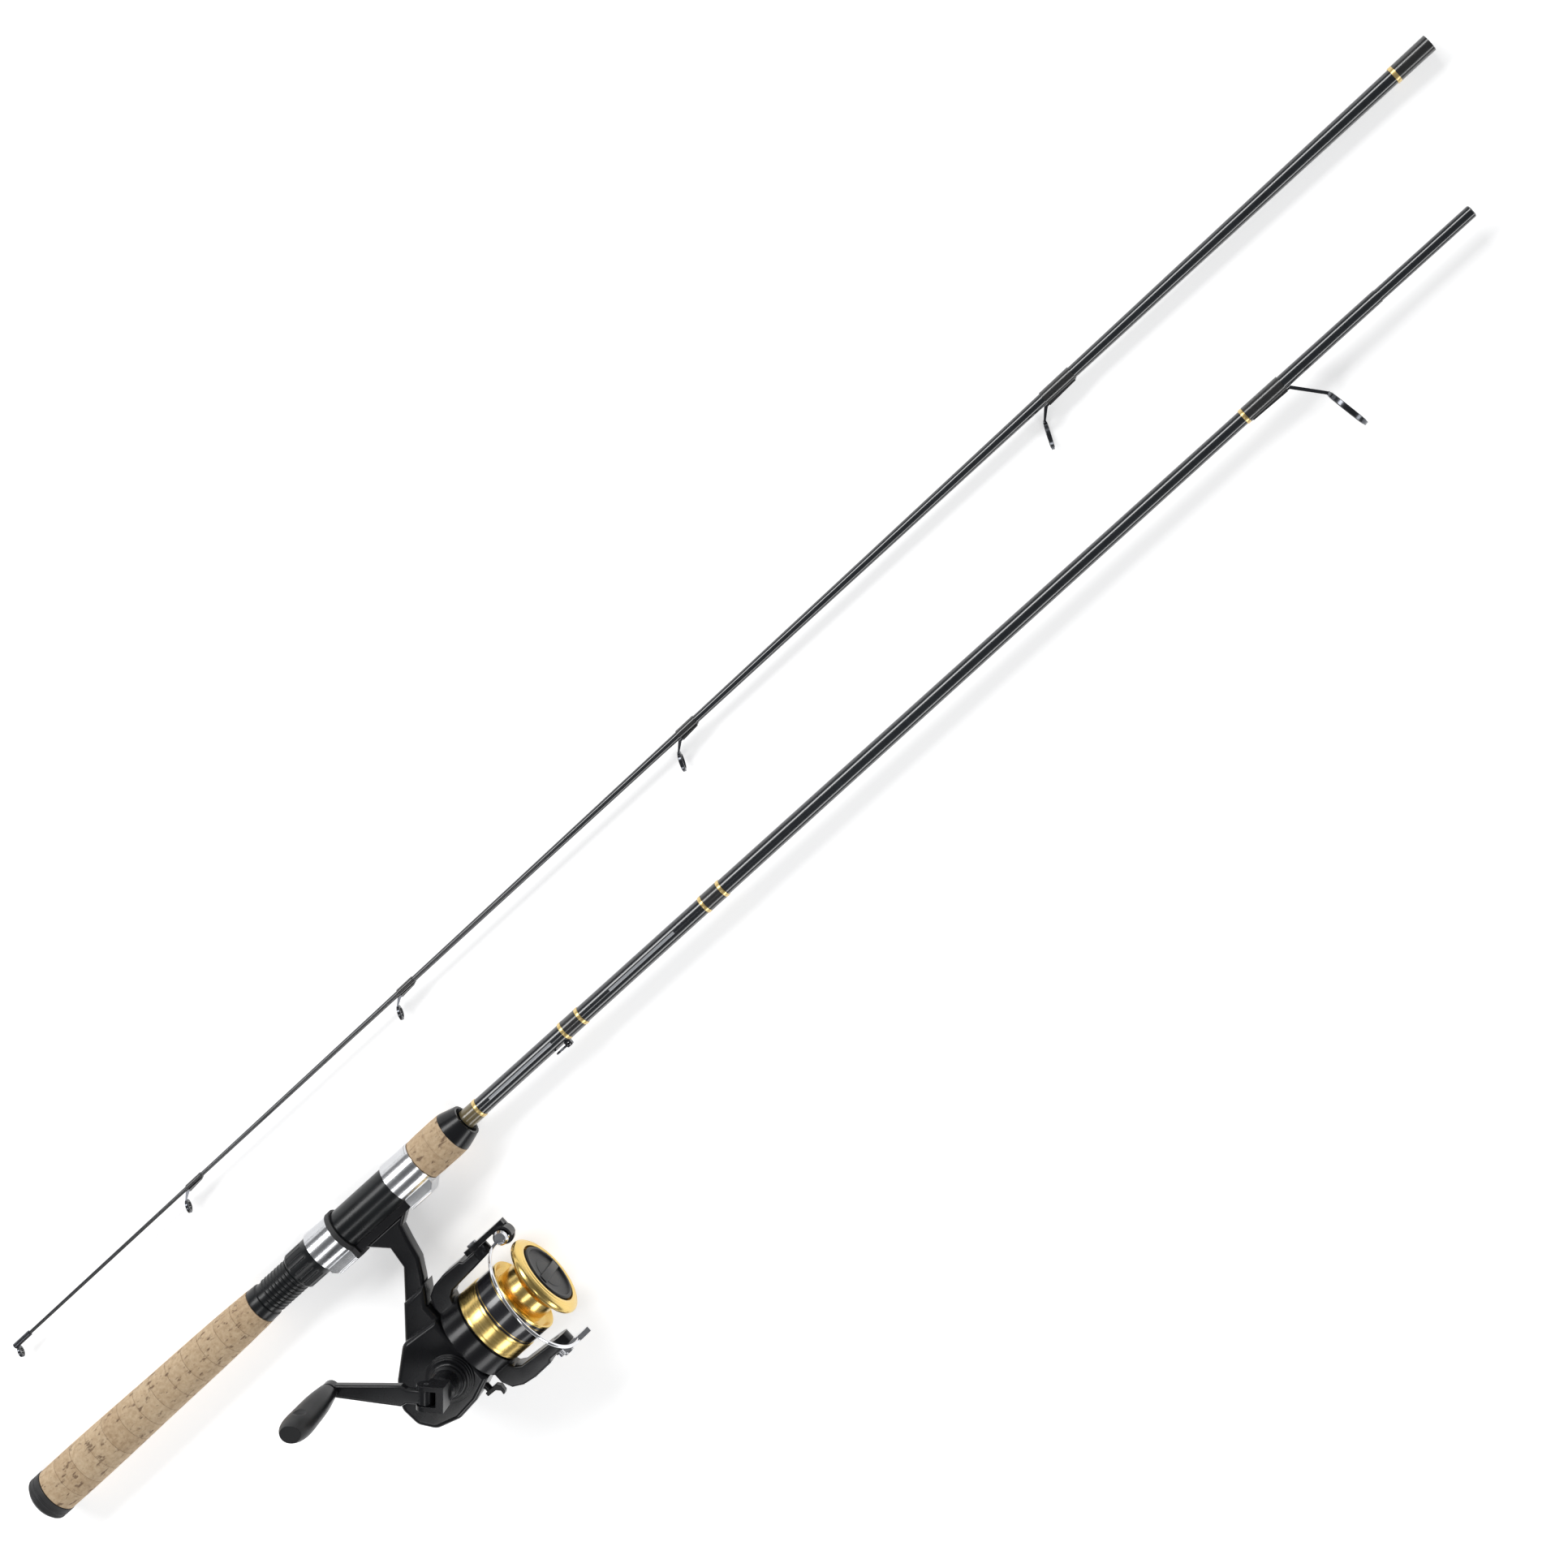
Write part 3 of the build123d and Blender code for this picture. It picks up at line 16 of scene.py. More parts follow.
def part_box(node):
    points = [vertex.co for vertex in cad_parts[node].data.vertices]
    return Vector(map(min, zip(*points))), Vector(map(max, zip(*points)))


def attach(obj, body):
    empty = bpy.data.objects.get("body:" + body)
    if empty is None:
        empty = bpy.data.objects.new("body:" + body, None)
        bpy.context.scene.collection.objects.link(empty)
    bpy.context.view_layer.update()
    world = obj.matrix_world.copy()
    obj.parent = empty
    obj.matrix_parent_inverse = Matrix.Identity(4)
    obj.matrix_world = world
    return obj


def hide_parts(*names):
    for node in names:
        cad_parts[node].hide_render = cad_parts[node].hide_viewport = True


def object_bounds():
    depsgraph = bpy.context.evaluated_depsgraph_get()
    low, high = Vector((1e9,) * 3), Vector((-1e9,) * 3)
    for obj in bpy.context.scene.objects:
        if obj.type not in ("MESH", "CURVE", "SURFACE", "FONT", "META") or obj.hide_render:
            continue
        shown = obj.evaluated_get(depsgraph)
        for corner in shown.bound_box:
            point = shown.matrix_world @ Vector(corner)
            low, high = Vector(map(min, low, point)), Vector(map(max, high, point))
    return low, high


log = logging.getLogger("rod")
logging.basicConfig(level=logging.INFO, format="%(message)s")

MM = 0.001                  # one millimetre in the frame's metres
SHARP = radians(32)         # edges of a new piece that turn by more than this stay sharp
SHARP_COPY = radians(28)    # the same for a copy of a CAD node
MERGE = 2e-6                # points of a CAD mesh that are nearer than this are one
CLOSE = 1e-7                # the same where a turned profile meets its start

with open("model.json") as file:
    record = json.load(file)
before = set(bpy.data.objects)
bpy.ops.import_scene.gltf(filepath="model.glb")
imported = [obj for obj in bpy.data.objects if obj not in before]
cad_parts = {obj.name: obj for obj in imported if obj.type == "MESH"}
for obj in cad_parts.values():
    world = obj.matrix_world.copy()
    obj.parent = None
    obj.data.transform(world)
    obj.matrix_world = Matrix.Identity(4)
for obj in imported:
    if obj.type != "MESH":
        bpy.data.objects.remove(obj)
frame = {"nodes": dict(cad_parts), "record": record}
cad_low, cad_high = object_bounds()


def joint(name: str) -> dict:
    """The record's entry of one joint."""
    return next(entry for entry in frame["record"]["behaviour"]["joints"] if entry["name"] == name)


# ---------------------------------------------------------------- the rod's own frame
CRANK = joint("crank_turn")
ROLL = atan2(CRANK["axis"][1], CRANK["axis"][2])
ROD_TO_ROW = Matrix.Rotation(-ROLL, 4, "X")
ROW_TO_ROD = ROD_TO_ROW.inverted()
SPOOL_Y = (ROW_TO_ROD @ Vector(joint("rotor_turn")["pos_m"])).y
CRANK_AT = ROW_TO_ROD @ Vector(CRANK["pos_m"])


class Body(Enum):
    """The moving bodies that new pieces ride on."""

    ROOT = "rod_and_reel_body"
    HOOD = "sliding_hood"
    NUT = "seat_nut"
    CRANK = "crank"
    ARM = "folding_arm"
    KNOB = "knob"
    CAP = "screw_cap"
    ROTOR = "rotor"
    BAIL = "bail"
    ROLLER = "line_roller"
    SPOOL = "spool"
    DRAG = "drag_knob"
    LEVER = "anti_reverse_lever"
    KEEPER = "keeper_ring"
    TIP = "tip_section"


# ---------------------------------------------------------------- shader maths
@dataclass(frozen=True)
class Value:
    """A shader socket that takes part in Python expressions."""

    net: "Net"
    socket: bpy.types.NodeSocket

    def _math(self, operation: str, first: object, second: object = None) -> "Value":
        """Add one Math node."""
        values = {0: first} if second is None else {0: first, 1: second}
        return self.net.node("ShaderNodeMath", {"operation": operation}, values)

    def __add__(self, other: object) -> "Value":
        """Sum."""
        return self._math("ADD", self, other)

    __radd__ = __add__

    def __mul__(self, other: object) -> "Value":
        """Product."""
        return self._math("MULTIPLY", self, other)

    __rmul__ = __mul__

    def __sub__(self, other: object) -> "Value":
        """Difference."""
        return self._math("SUBTRACT", self, other)

    def __rsub__(self, other: object) -> "Value":
        """Reflected difference."""
        return self._math("SUBTRACT", other, self)

    def __truediv__(self, other: object) -> "Value":
        """Quotient."""
        return self._math("DIVIDE", self, other)

    def __gt__(self, other: object) -> "Value":
        """One where the value is above the other, else zero."""
        return self._math("GREATER_THAN", self, other)

    def __lt__(self, other: object) -> "Value":
        """One where the value is below the other, else zero."""
        return self._math("LESS_THAN", self, other)

    def power(self, exponent: float) -> "Value":
        """The value raised to a power."""
        return self._math("POWER", self, exponent)

    def fraction(self) -> "Value":
        """Fractional part."""
        return self._math("FRACT", self)

    def size(self) -> "Value":
        """Absolute value."""
        return self._math("ABSOLUTE", self)

    def limited(self) -> "Value":
        """The value held between zero and one."""
        return self._math("MINIMUM", self._math("MAXIMUM", self, 0.0), 1.0)


class Net:
    """The node tree of one finish."""

    def __init__(self, name: str) -> None:
        """Start a material with its principled shader.

        Args:
            name: the material's name.
        """
        self.material = bpy.data.materials.new(name)
        self.material.use_nodes = True
        self.tree = self.material.node_tree
        self.shader = self.tree.nodes["Principled BSDF"]

    def node(self, kind: str, settings: dict | None = None, inputs: dict | None = None,
             output: int | str = 0) -> Value:
        """Add a node.

        Args:
            kind: node type.
            settings: properties of the node, set first; a "stops" entry fills a colour ramp.
            inputs: values or links by socket.
            output: the socket to return.

        Returns:
            The chosen output as a value.
        """
        made = self.tree.nodes.new(kind)
        for key, setting in (settings or {}).items():
            if key == "stops":
                ramp = made.color_ramp
                while len(ramp.elements) < len(setting):
                    ramp.elements.new(0.5)
                for element, (place, colour) in zip(ramp.elements, setting):
                    element.position = place
                    element.color = (*colour, 1.0)
            else:
                setattr(made, key, setting)
        for key, value in (inputs or {}).items():
            self.feed(made.inputs[key], value)
        return Value(self, made.outputs[output])

    def feed(self, socket: bpy.types.NodeSocket, value: object) -> None:
        """Link or set one input socket.

        Args:
            socket: the socket.
            value: a value to link, or a constant to set.
        """
        if isinstance(value, Value):
            self.tree.links.new(value.socket, socket)
        else:
            socket.default_value = value

    def set(self, **values: object) -> "Net":
        """Set the shader's own sockets.

        Args:
            values: what each socket gets, with underscores for the spaces in its name.

        Returns:
            The same net.
        """
        for key, value in values.items():
            self.feed(self.shader.inputs[key.replace("_", " ")], value)
        return self

    def place(self) -> Value:
        """Object coordinates, in metres."""
        return self.node("ShaderNodeTexCoord", output="Object")

    def rolled(self) -> Value:
        """Object coordinates turned into the rod's own frame."""
        return self.node("ShaderNodeMapping", {"vector_type": "POINT"},
                         {"Vector": self.place(), "Rotation": (ROLL, 0.0, 0.0)})

    def axis(self, vector: Value, index: int) -> Value:
        """One component of a vector."""
        return self.node("ShaderNodeSeparateXYZ", None, {0: vector}, index)

    def stretched(self, vector: Value, scale: Sequence[float]) -> Value:
        """A vector scaled on each axis."""
        return self.node("ShaderNodeMapping", {"vector_type": "POINT"},
                         {"Vector": vector, "Scale": tuple(scale)})

    def noise(self, vector: Value, scale: float, detail: float = 4.0, roughness: float = 0.5) -> Value:
        """Fractal noise between zero and one."""
        return self.node("ShaderNodeTexNoise", None,
                         {"Vector": vector, "Scale": scale, "Detail": detail, "Roughness": roughness})

    def ramp(self, value: Value, stops: Sequence[tuple[float, Sequence[float]]]) -> Value:
        """Colours along a value."""
        return self.node("ShaderNodeValToRGB", {"stops": stops}, {0: value})

    def mix(self, factor: object, first: object, second: object) -> Value:
        """Blend of two colours.

        Args:
            factor: share of the second colour.
            first: the colour where the factor is zero.
            second: the colour where it is one.

        Returns:
            The blended colour.
        """
        made = self.tree.nodes.new("ShaderNodeMix")
        made.data_type = "RGBA"
        sockets = [socket for socket in made.inputs if socket.type == "RGBA"]
        self.feed(made.inputs[0], factor)
        for socket, value in zip(sockets, (first, second)):
            self.feed(socket, value if isinstance(value, Value) else (*value, 1.0))
        return Value(self, next(socket for socket in made.outputs if socket.type == "RGBA"))

    def bump(self, height: Value, distance: float, strength: float = 1.0, eased: float = 0.0) -> "Net":
        """Feed a height to the shader's normal.

        Args:
            height: heights between zero and one.
            distance: metres that one stands for.
            strength: share of the effect.
            eased: radius in metres that sharp edges are rounded to.

        Returns:
            The same net.
        """
        values = {"Strength": strength, "Distance": distance, "Height": height}
        if eased:
            values["Normal"] = self.node("ShaderNodeBevel", {"samples": 4}, {"Radius": eased})
        return self.set(Normal=self.node("ShaderNodeBump", None, values))


# ---------------------------------------------------------------- finishes
Colour = tuple[float, float, float]


@dataclass(frozen=True)
class Moulded:
    """Moulded or painted black plastic with a fine grain and scuffs."""

    name: str
    base: Colour
    worn: Colour
    roughness: float
    grain: float = 1600.0
    depth: float = 0.00003
    coat: float = 0.0
    eased: float = 0.0
    gloss: float = 0.3

    def make(self) -> bpy.types.Material:
        """Build the finish.

        Returns:
            Its material.
        """
        net = Net(self.name)
        place = net.place()
        cloud = net.noise(place, 28.0, 5.0)
        grain = net.noise(place, self.grain, 3.0, 0.6)
        net.set(Base_Color=net.mix((cloud - 0.35) * 1.6, self.base, self.worn),
                Roughness=(cloud - 0.5) * 0.22 + self.roughness,
                Coat_Weight=self.coat, Coat_Roughness=0.12, Specular_IOR_Level=self.gloss)
        net.bump(grain, self.depth, 0.5, self.eased)
        return net.material


@dataclass(frozen=True)
class Metal:
    """Turned, brushed or plated metal with fine lines round the rod's axis."""

    name: str
    base: Colour
    shade: Colour
    roughness: float
    lines: float = 9000.0
    depth: float = 0.000004
    spread: float = 0.12

    def make(self) -> bpy.types.Material:
        """Build the finish.

        Returns:
            Its material.
        """
        net = Net(self.name)
        place = net.rolled()
        lines = net.noise(net.stretched(place, (self.lines, 30.0, 30.0)), 1.0, 3.0, 0.7)
        cloud = net.noise(place, 60.0, 4.0)
        net.set(Base_Color=net.mix((lines * 0.5 + cloud * 0.5 - 0.3) * 1.8, self.shade, self.base),
                Metallic=1.0,
                Roughness=(lines - 0.5) * self.spread + (cloud - 0.5) * 0.1 + self.roughness)
        net.bump(lines, self.depth, 0.6)
        return net.material


@dataclass(frozen=True)
class Cork:
    """Pressed cork rings: warm tan with dark pits, streaks and a seam at every ring."""

    name: str
    start: float
    ring: float
    speck: Colour = (0.24, 0.14, 0.075)
    pit: Colour = (0.15, 0.085, 0.045)
    glue: Colour = (0.30, 0.19, 0.11)
    tones: tuple[tuple[float, Colour], ...] = (
        (0.25, (0.34, 0.22, 0.12)), (0.45, (0.50, 0.36, 0.22)),
        (0.62, (0.60, 0.46, 0.30)), (0.8, (0.68, 0.55, 0.39)))

    def make(self) -> bpy.types.Material:
        """Build the finish.

        Returns:
            Its material.
        """
        net = Net(self.name)
        place = net.rolled()
        ring = (net.axis(place, 0) - self.start) / self.ring
        shade = net.node("ShaderNodeTexWhiteNoise", {"noise_dimensions": "1D"}, {"W": ring - ring.fraction()})
        seam = (((ring.fraction() - 0.5).size() - 0.478) * 60.0).limited()
        cells = net.noise(place, 420.0, 6.0, 0.65)
        streak = net.noise(net.stretched(place, (300.0, 850.0, 850.0)), 1.0, 4.0, 0.6)
        pits_wide = net.noise(net.stretched(place, (170.0, 360.0, 360.0)), 1.0, 3.0, 0.55)
        pits = ((pits_wide - 0.59) * 14.0).limited()
        specks = ((streak - 0.60) * 10.0).limited()
        tone = net.ramp(cells * 0.7 + shade * 0.10 + 0.08, self.tones)
        tone = net.mix(specks * 0.6, tone, self.speck)
        tone = net.mix(pits * 0.8, tone, self.pit)
        tone = net.mix(seam * 0.3, tone, self.glue)
        net.set(Base_Color=tone, Roughness=cells * 0.2 + 0.62)
        net.bump(cells * 0.35 - pits * 0.8 - specks * 0.3 - seam * 0.5, 0.00035, 0.8)
        return net.material


@dataclass(frozen=True)
class Blank:
    """Clear-coated composite: near black with a slate sheen, faint wrap bands and plain pinstripes."""

    name: str
    stripes: tuple[tuple[float, float], ...] = ()
    half_width: float = 0.00075
    base: Colour = (0.005, 0.006, 0.008)
    sheen: Colour = (0.018, 0.023, 0.029)
    ink: Colour = (0.55, 0.57, 0.60)

    def make(self) -> bpy.types.Material:
        """Build the finish.

        Returns:
            Its material.
        """
        net = Net(self.name)
        place = net.rolled()
        along = net.axis(place, 0)
        bands = net.noise(net.stretched(place, (420.0, 60.0, 60.0)), 1.0, 2.0, 0.5)
        weave = (along * 900.0).fraction()
        cloud = net.noise(place, 14.0, 3.0)
        colour = net.mix(bands * 0.6 + cloud * 0.5 - 0.25, self.base, self.sheen)
        mask = None
        for start, end in self.stripes:
            run = (along > start) * (along < end)
            mask = run if mask is None else mask + run
        if mask is not None:
            side = (net.axis(place, 1).size() < self.half_width) * (net.axis(place, 2) > 0.0)
            colour = net.mix(mask * side * 0.6, colour, self.ink)
        net.set(Base_Color=colour, Roughness=bands * 0.08 + 0.20, Coat_Weight=0.9, Coat_Roughness=0.06)
        net.bump(weave * 0.3 + bands * 0.7, 0.000015, 0.5)
        return net.material


@dataclass(frozen=True)
class Thread:
    """Whipping thread under lacquer: fine turns side by side, with a painted highlight along each turn's
    crown and painted shade in the grooves between turns.
    """

    name: str
    base: Colour
    # the next colour is the painted highlight on each turn's crown
    light: Colour
    metallic: float = 0.0
    pitch: float = 0.00032
    bronze_until: float = 0.0
    bronze: Colour = (0.05, 0.038, 0.018)
    bronze_painted_highlight: Colour = (0.20, 0.155, 0.07)

    def make(self) -> bpy.types.Material:
        """Build the finish.

        Returns:
            Its material.
        """
        net = Net(self.name)
        place = net.rolled()
        turn = (net.axis(place, 0) / self.pitch).fraction()
        round_top = 1.0 - ((turn - 0.5) * 2.0).power(2.0)
        cloud = net.noise(place, 240.0, 3.0)
        # Painted highlight and shade: each turn's crown is mixed towards the lighter colour and the groove
        # between turns stays dark, with some random tone from the cloud.
        colour = net.mix(round_top * 0.6 + cloud * 0.4, self.base, self.light)
        if self.bronze_until:
            # The bronze part gets the same painted highlight on each turn's crown.
            bronze = net.mix(round_top * 0.6 + cloud * 0.4, self.bronze, self.bronze_painted_highlight)
            colour = net.mix(net.axis(place, 0) < self.bronze_until, colour, bronze)
        net.set(Base_Color=colour, Metallic=self.metallic,
                Roughness=cloud * 0.2 + 0.2, Coat_Weight=0.8, Coat_Roughness=0.08)
        net.bump(round_top, 0.00006, 0.5)
        return net.material


@dataclass(frozen=True)
class Rubber:
    """Matt moulded rubber."""

    name: str
    base: Colour = (0.014, 0.014, 0.015)
    dusty: Colour = (0.045, 0.045, 0.046)

    def make(self) -> bpy.types.Material:
        """Build the finish.

        Returns:
            Its material.
        """
        net = Net(self.name)
        place = net.place()
        dust = net.noise(place, 90.0, 5.0)
        grain = net.noise(place, 2400.0, 2.0)
        net.set(Base_Color=net.mix((dust - 0.4) * 1.2, self.base, self.dusty), Roughness=dust * 0.2 + 0.48)
        net.bump(grain, 0.00004, 0.6)
        return net.material


@dataclass(frozen=True)
class Banded:
    """Gloss black band with two fine gold pinstripes."""

    name: str
    low: float
    high: float
    lines: tuple[float, float] = (0.86, 0.10)
    half_width: float = 0.018
    base: Colour = (0.010, 0.010, 0.013)
    gold: Colour = (0.62, 0.43, 0.12)

    def make(self) -> bpy.types.Material:
        """Build the finish.

        Returns:
            Its material.
        """
        net = Net(self.name)
        place = net.rolled()
        share = (net.axis(place, 0) - self.low) / (self.high - self.low)
        front, rear = [(share - at).size() < self.half_width for at in self.lines]
        line = front + rear
        cloud = net.noise(place, 120.0, 3.0)
        net.set(Base_Color=net.mix(line.limited() * 0.85, self.base, self.gold),
                Metallic=line.limited() * 0.9, Roughness=cloud * 0.12 + 0.16,
                Coat_Weight=0.6, Coat_Roughness=0.05)
        net.bump(cloud, 0.00001, 0.4)
        return net.material


class Finish(Enum):
    """Every finish on the rod and reel."""

    CORK = Cork("cork", 0.011, 0.163 / 13)
    RUBBER = Rubber("black_rubber")
    BLANK_BUTT = Blank("blank_black_butt", ((0.352, 0.398), (0.441, 0.488)))
    BLANK_TIP = Blank("blank_black_tip")
    SEAT = Moulded("seat_black", (0.007, 0.008, 0.009), (0.016, 0.018, 0.020), 0.30, 1300.0, 0.00002, 0.05)
    CASTING = Moulded("body_black", (0.006, 0.006, 0.007), (0.014, 0.015, 0.017), 0.24, 1500.0, 0.00001,
                      0.08, 0.0006)
    KNOB = Moulded("knob_black", (0.008, 0.008, 0.009), (0.018, 0.019, 0.020), 0.38, 1100.0, 0.00003,
                   0.0, 0.0005)
    SILVER = Metal("hood_silver", (0.80, 0.80, 0.81), (0.56, 0.57, 0.59), 0.22)
    GOLD = Metal("spool_gold", (0.93, 0.70, 0.28), (0.74, 0.52, 0.16), 0.25, 7000.0, 0.000005, 0.16)
    CHROME = Metal("chrome", (0.88, 0.88, 0.90), (0.72, 0.73, 0.76), 0.10, 4000.0, 0.000001, 0.04)
    STEEL = Metal("steel", (0.62, 0.62, 0.64), (0.40, 0.41, 0.43), 0.28, 5000.0)
    GUIDE = Metal("steel_black_chrome", (0.16, 0.165, 0.18), (0.07, 0.075, 0.085), 0.20, 5000.0)
    BRASS = Metal("brass", (0.82, 0.62, 0.30), (0.60, 0.42, 0.17), 0.28, 5000.0)
    # The second colour of each thread finish is its painted highlight on the crowns of the turns.
    THREAD = Thread("thread_black", (0.006, 0.006, 0.007), (0.022, 0.022, 0.022))
    THREAD_BUTT = Thread("thread_black_butt", (0.006, 0.006, 0.007), (0.022, 0.022, 0.022),
                         bronze_until=0.345)
    GOLD_THREAD = Thread("thread_gold", (0.55, 0.36, 0.10), (0.92, 0.70, 0.30), 0.8)
    CERAMIC = Moulded("ring_ceramic", (0.030, 0.031, 0.034), (0.075, 0.078, 0.084), 0.14, 900.0,
                      0.000004, 0.5)
    FELT = Rubber("felt", (0.20, 0.18, 0.16))


class Paints:
    """Builds each finish once."""

    def __init__(self) -> None:
        """Start with nothing made."""
        self.made: dict[object, bpy.types.Material] = {}

    def __call__(self, finish: object) -> bpy.types.Material:
        """The material of a finish.

        Args:
            finish: one of Finish, or a finish that stands outside it.

        Returns:
            The material, made the first time it is asked for.
        """
        maker = finish.value if isinstance(finish, Enum) else finish
        if maker not in self.made:
            self.made[maker] = maker.make()
        return self.made[maker]


paint = Paints()


# ---------------------------------------------------------------- mesh building
def keep(mesh: bmesh.types.BMesh, name: str, finish: object, body: Body, node: str | Sequence[str] = (),
         place: Matrix = ROD_TO_ROW, sharp: float = SHARP) -> bpy.types.Object:
    """Turn a finished mesh into a piece.

    Args:
        mesh: geometry in metres, in the frame that place maps to the row.
        name: the piece's name.
        finish: its finish.
        body: the body it rides on.
        node: CAD nodes that it stands for.
        place: transform to the row's frame.
        sharp: edges that turn by more than this stay sharp.

    Returns:
        The new object.
    """
    bmesh.ops.transform(mesh, matrix=place, verts=mesh.verts)
    for face in mesh.faces:
        face.smooth = True
    for edge in mesh.edges:
        edge.smooth = not (len(edge.link_faces) == 2 and edge.calc_face_angle(0.0) > sharp)
    data = bpy.data.meshes.new(name)
    mesh.to_mesh(data)
    mesh.free()
    piece = bpy.data.objects.new(name, data)
    bpy.context.scene.collection.objects.link(piece)
    data.materials.append(paint(finish))
    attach(piece, body.value)
    nodes = [node] if isinstance(node, str) else list(node)
    if nodes:
        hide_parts(*nodes)
    log.info("%s: %d faces", name, len(data.polygons))
    return piece


def lathe(profile: Sequence[tuple[float, float]], axis_y: float = 0.0, steps: int = 96,
          closed: bool = True) -> bmesh.types.BMesh:
    """Spin a profile about a line parallel to the rod.

    Args:
        profile: (x, radius) points in millimetres.
        axis_y: where the line lies.
        steps: faces round the turn.
        closed: whether the profile's last point joins its first.

    Returns:
        The turned mesh, in metres.
    """
    mesh = bmesh.new()
    verts = [mesh.verts.new((x * MM, axis_y, radius * MM)) for x, radius in profile]
    edges = [mesh.edges.new(pair) for pair in zip(verts, verts[1:])]
    if closed:
        edges.append(mesh.edges.new((verts[-1], verts[0])))
    bmesh.ops.spin(mesh, geom=verts + edges, cent=(0, axis_y, 0), axis=(1, 0, 0), angle=2 * pi,
                   steps=steps, use_merge=True)
    bmesh.ops.remove_doubles(mesh, verts=mesh.verts, dist=CLOSE)
    bmesh.ops.recalc_face_normals(mesh, faces=mesh.faces)
    return mesh


def rounded(profile: Sequence[tuple[float, float, float]], steps: int = 4) -> list[tuple[float, float]]:
    """Round the corners of a profile.

    Args:
        profile: (x, radius, corner size) points; a corner size of zero stays sharp.
        steps: pieces of each rounding.

    Returns:
        The (x, radius) points of the rounded outline.
    """
    out: list[tuple[float, float]] = []
    count = len(profile)
    for index, (x, r, size) in enumerate(profile):
        corner = Vector((x, r))
        if size <= 0:
            out.append((x, r))
            continue
        before = Vector(profile[index - 1][:2])
        after = Vector(profile[(index + 1) % count][:2])
        back = before - corner
        ahead = after - corner
        first = corner + back.normalized() * min(size, back.length * 0.45)
        last = corner + ahead.normalized() * min(size, ahead.length * 0.45)
        for step in range(steps + 1):
            t = step / steps
            point = first * (1 - t) ** 2 + corner * 2 * t * (1 - t) + last * t ** 2
            out.append((point.x, point.y))
    return out


def smooth_copy(node: str, finish: object, body: Body) -> bpy.types.Object:
    """A merged, smooth-shaded copy of a CAD node, for shapes that are right as designed.

    Args:
        node: the CAD node.
        finish: the copy's finish.
        body: the body it rides on.

    Returns:
        The new object.
    """
    mesh = bmesh.new()
    mesh.from_mesh(frame["nodes"][node].data)
    bmesh.ops.remove_doubles(mesh, verts=mesh.verts, dist=MERGE)
    return keep(mesh, f"{node}_finished", finish, body, node, Matrix.Identity(4), SHARP_COPY)


def dress(nodes: Iterable[str], finish: object) -> None:
    """Give CAD nodes a finish.

    Args:
        nodes: the nodes.
        finish: their finish.
    """
    for node in nodes:
        data = frame["nodes"][node].data
        data.materials.clear()
        data.materials.append(paint(finish))


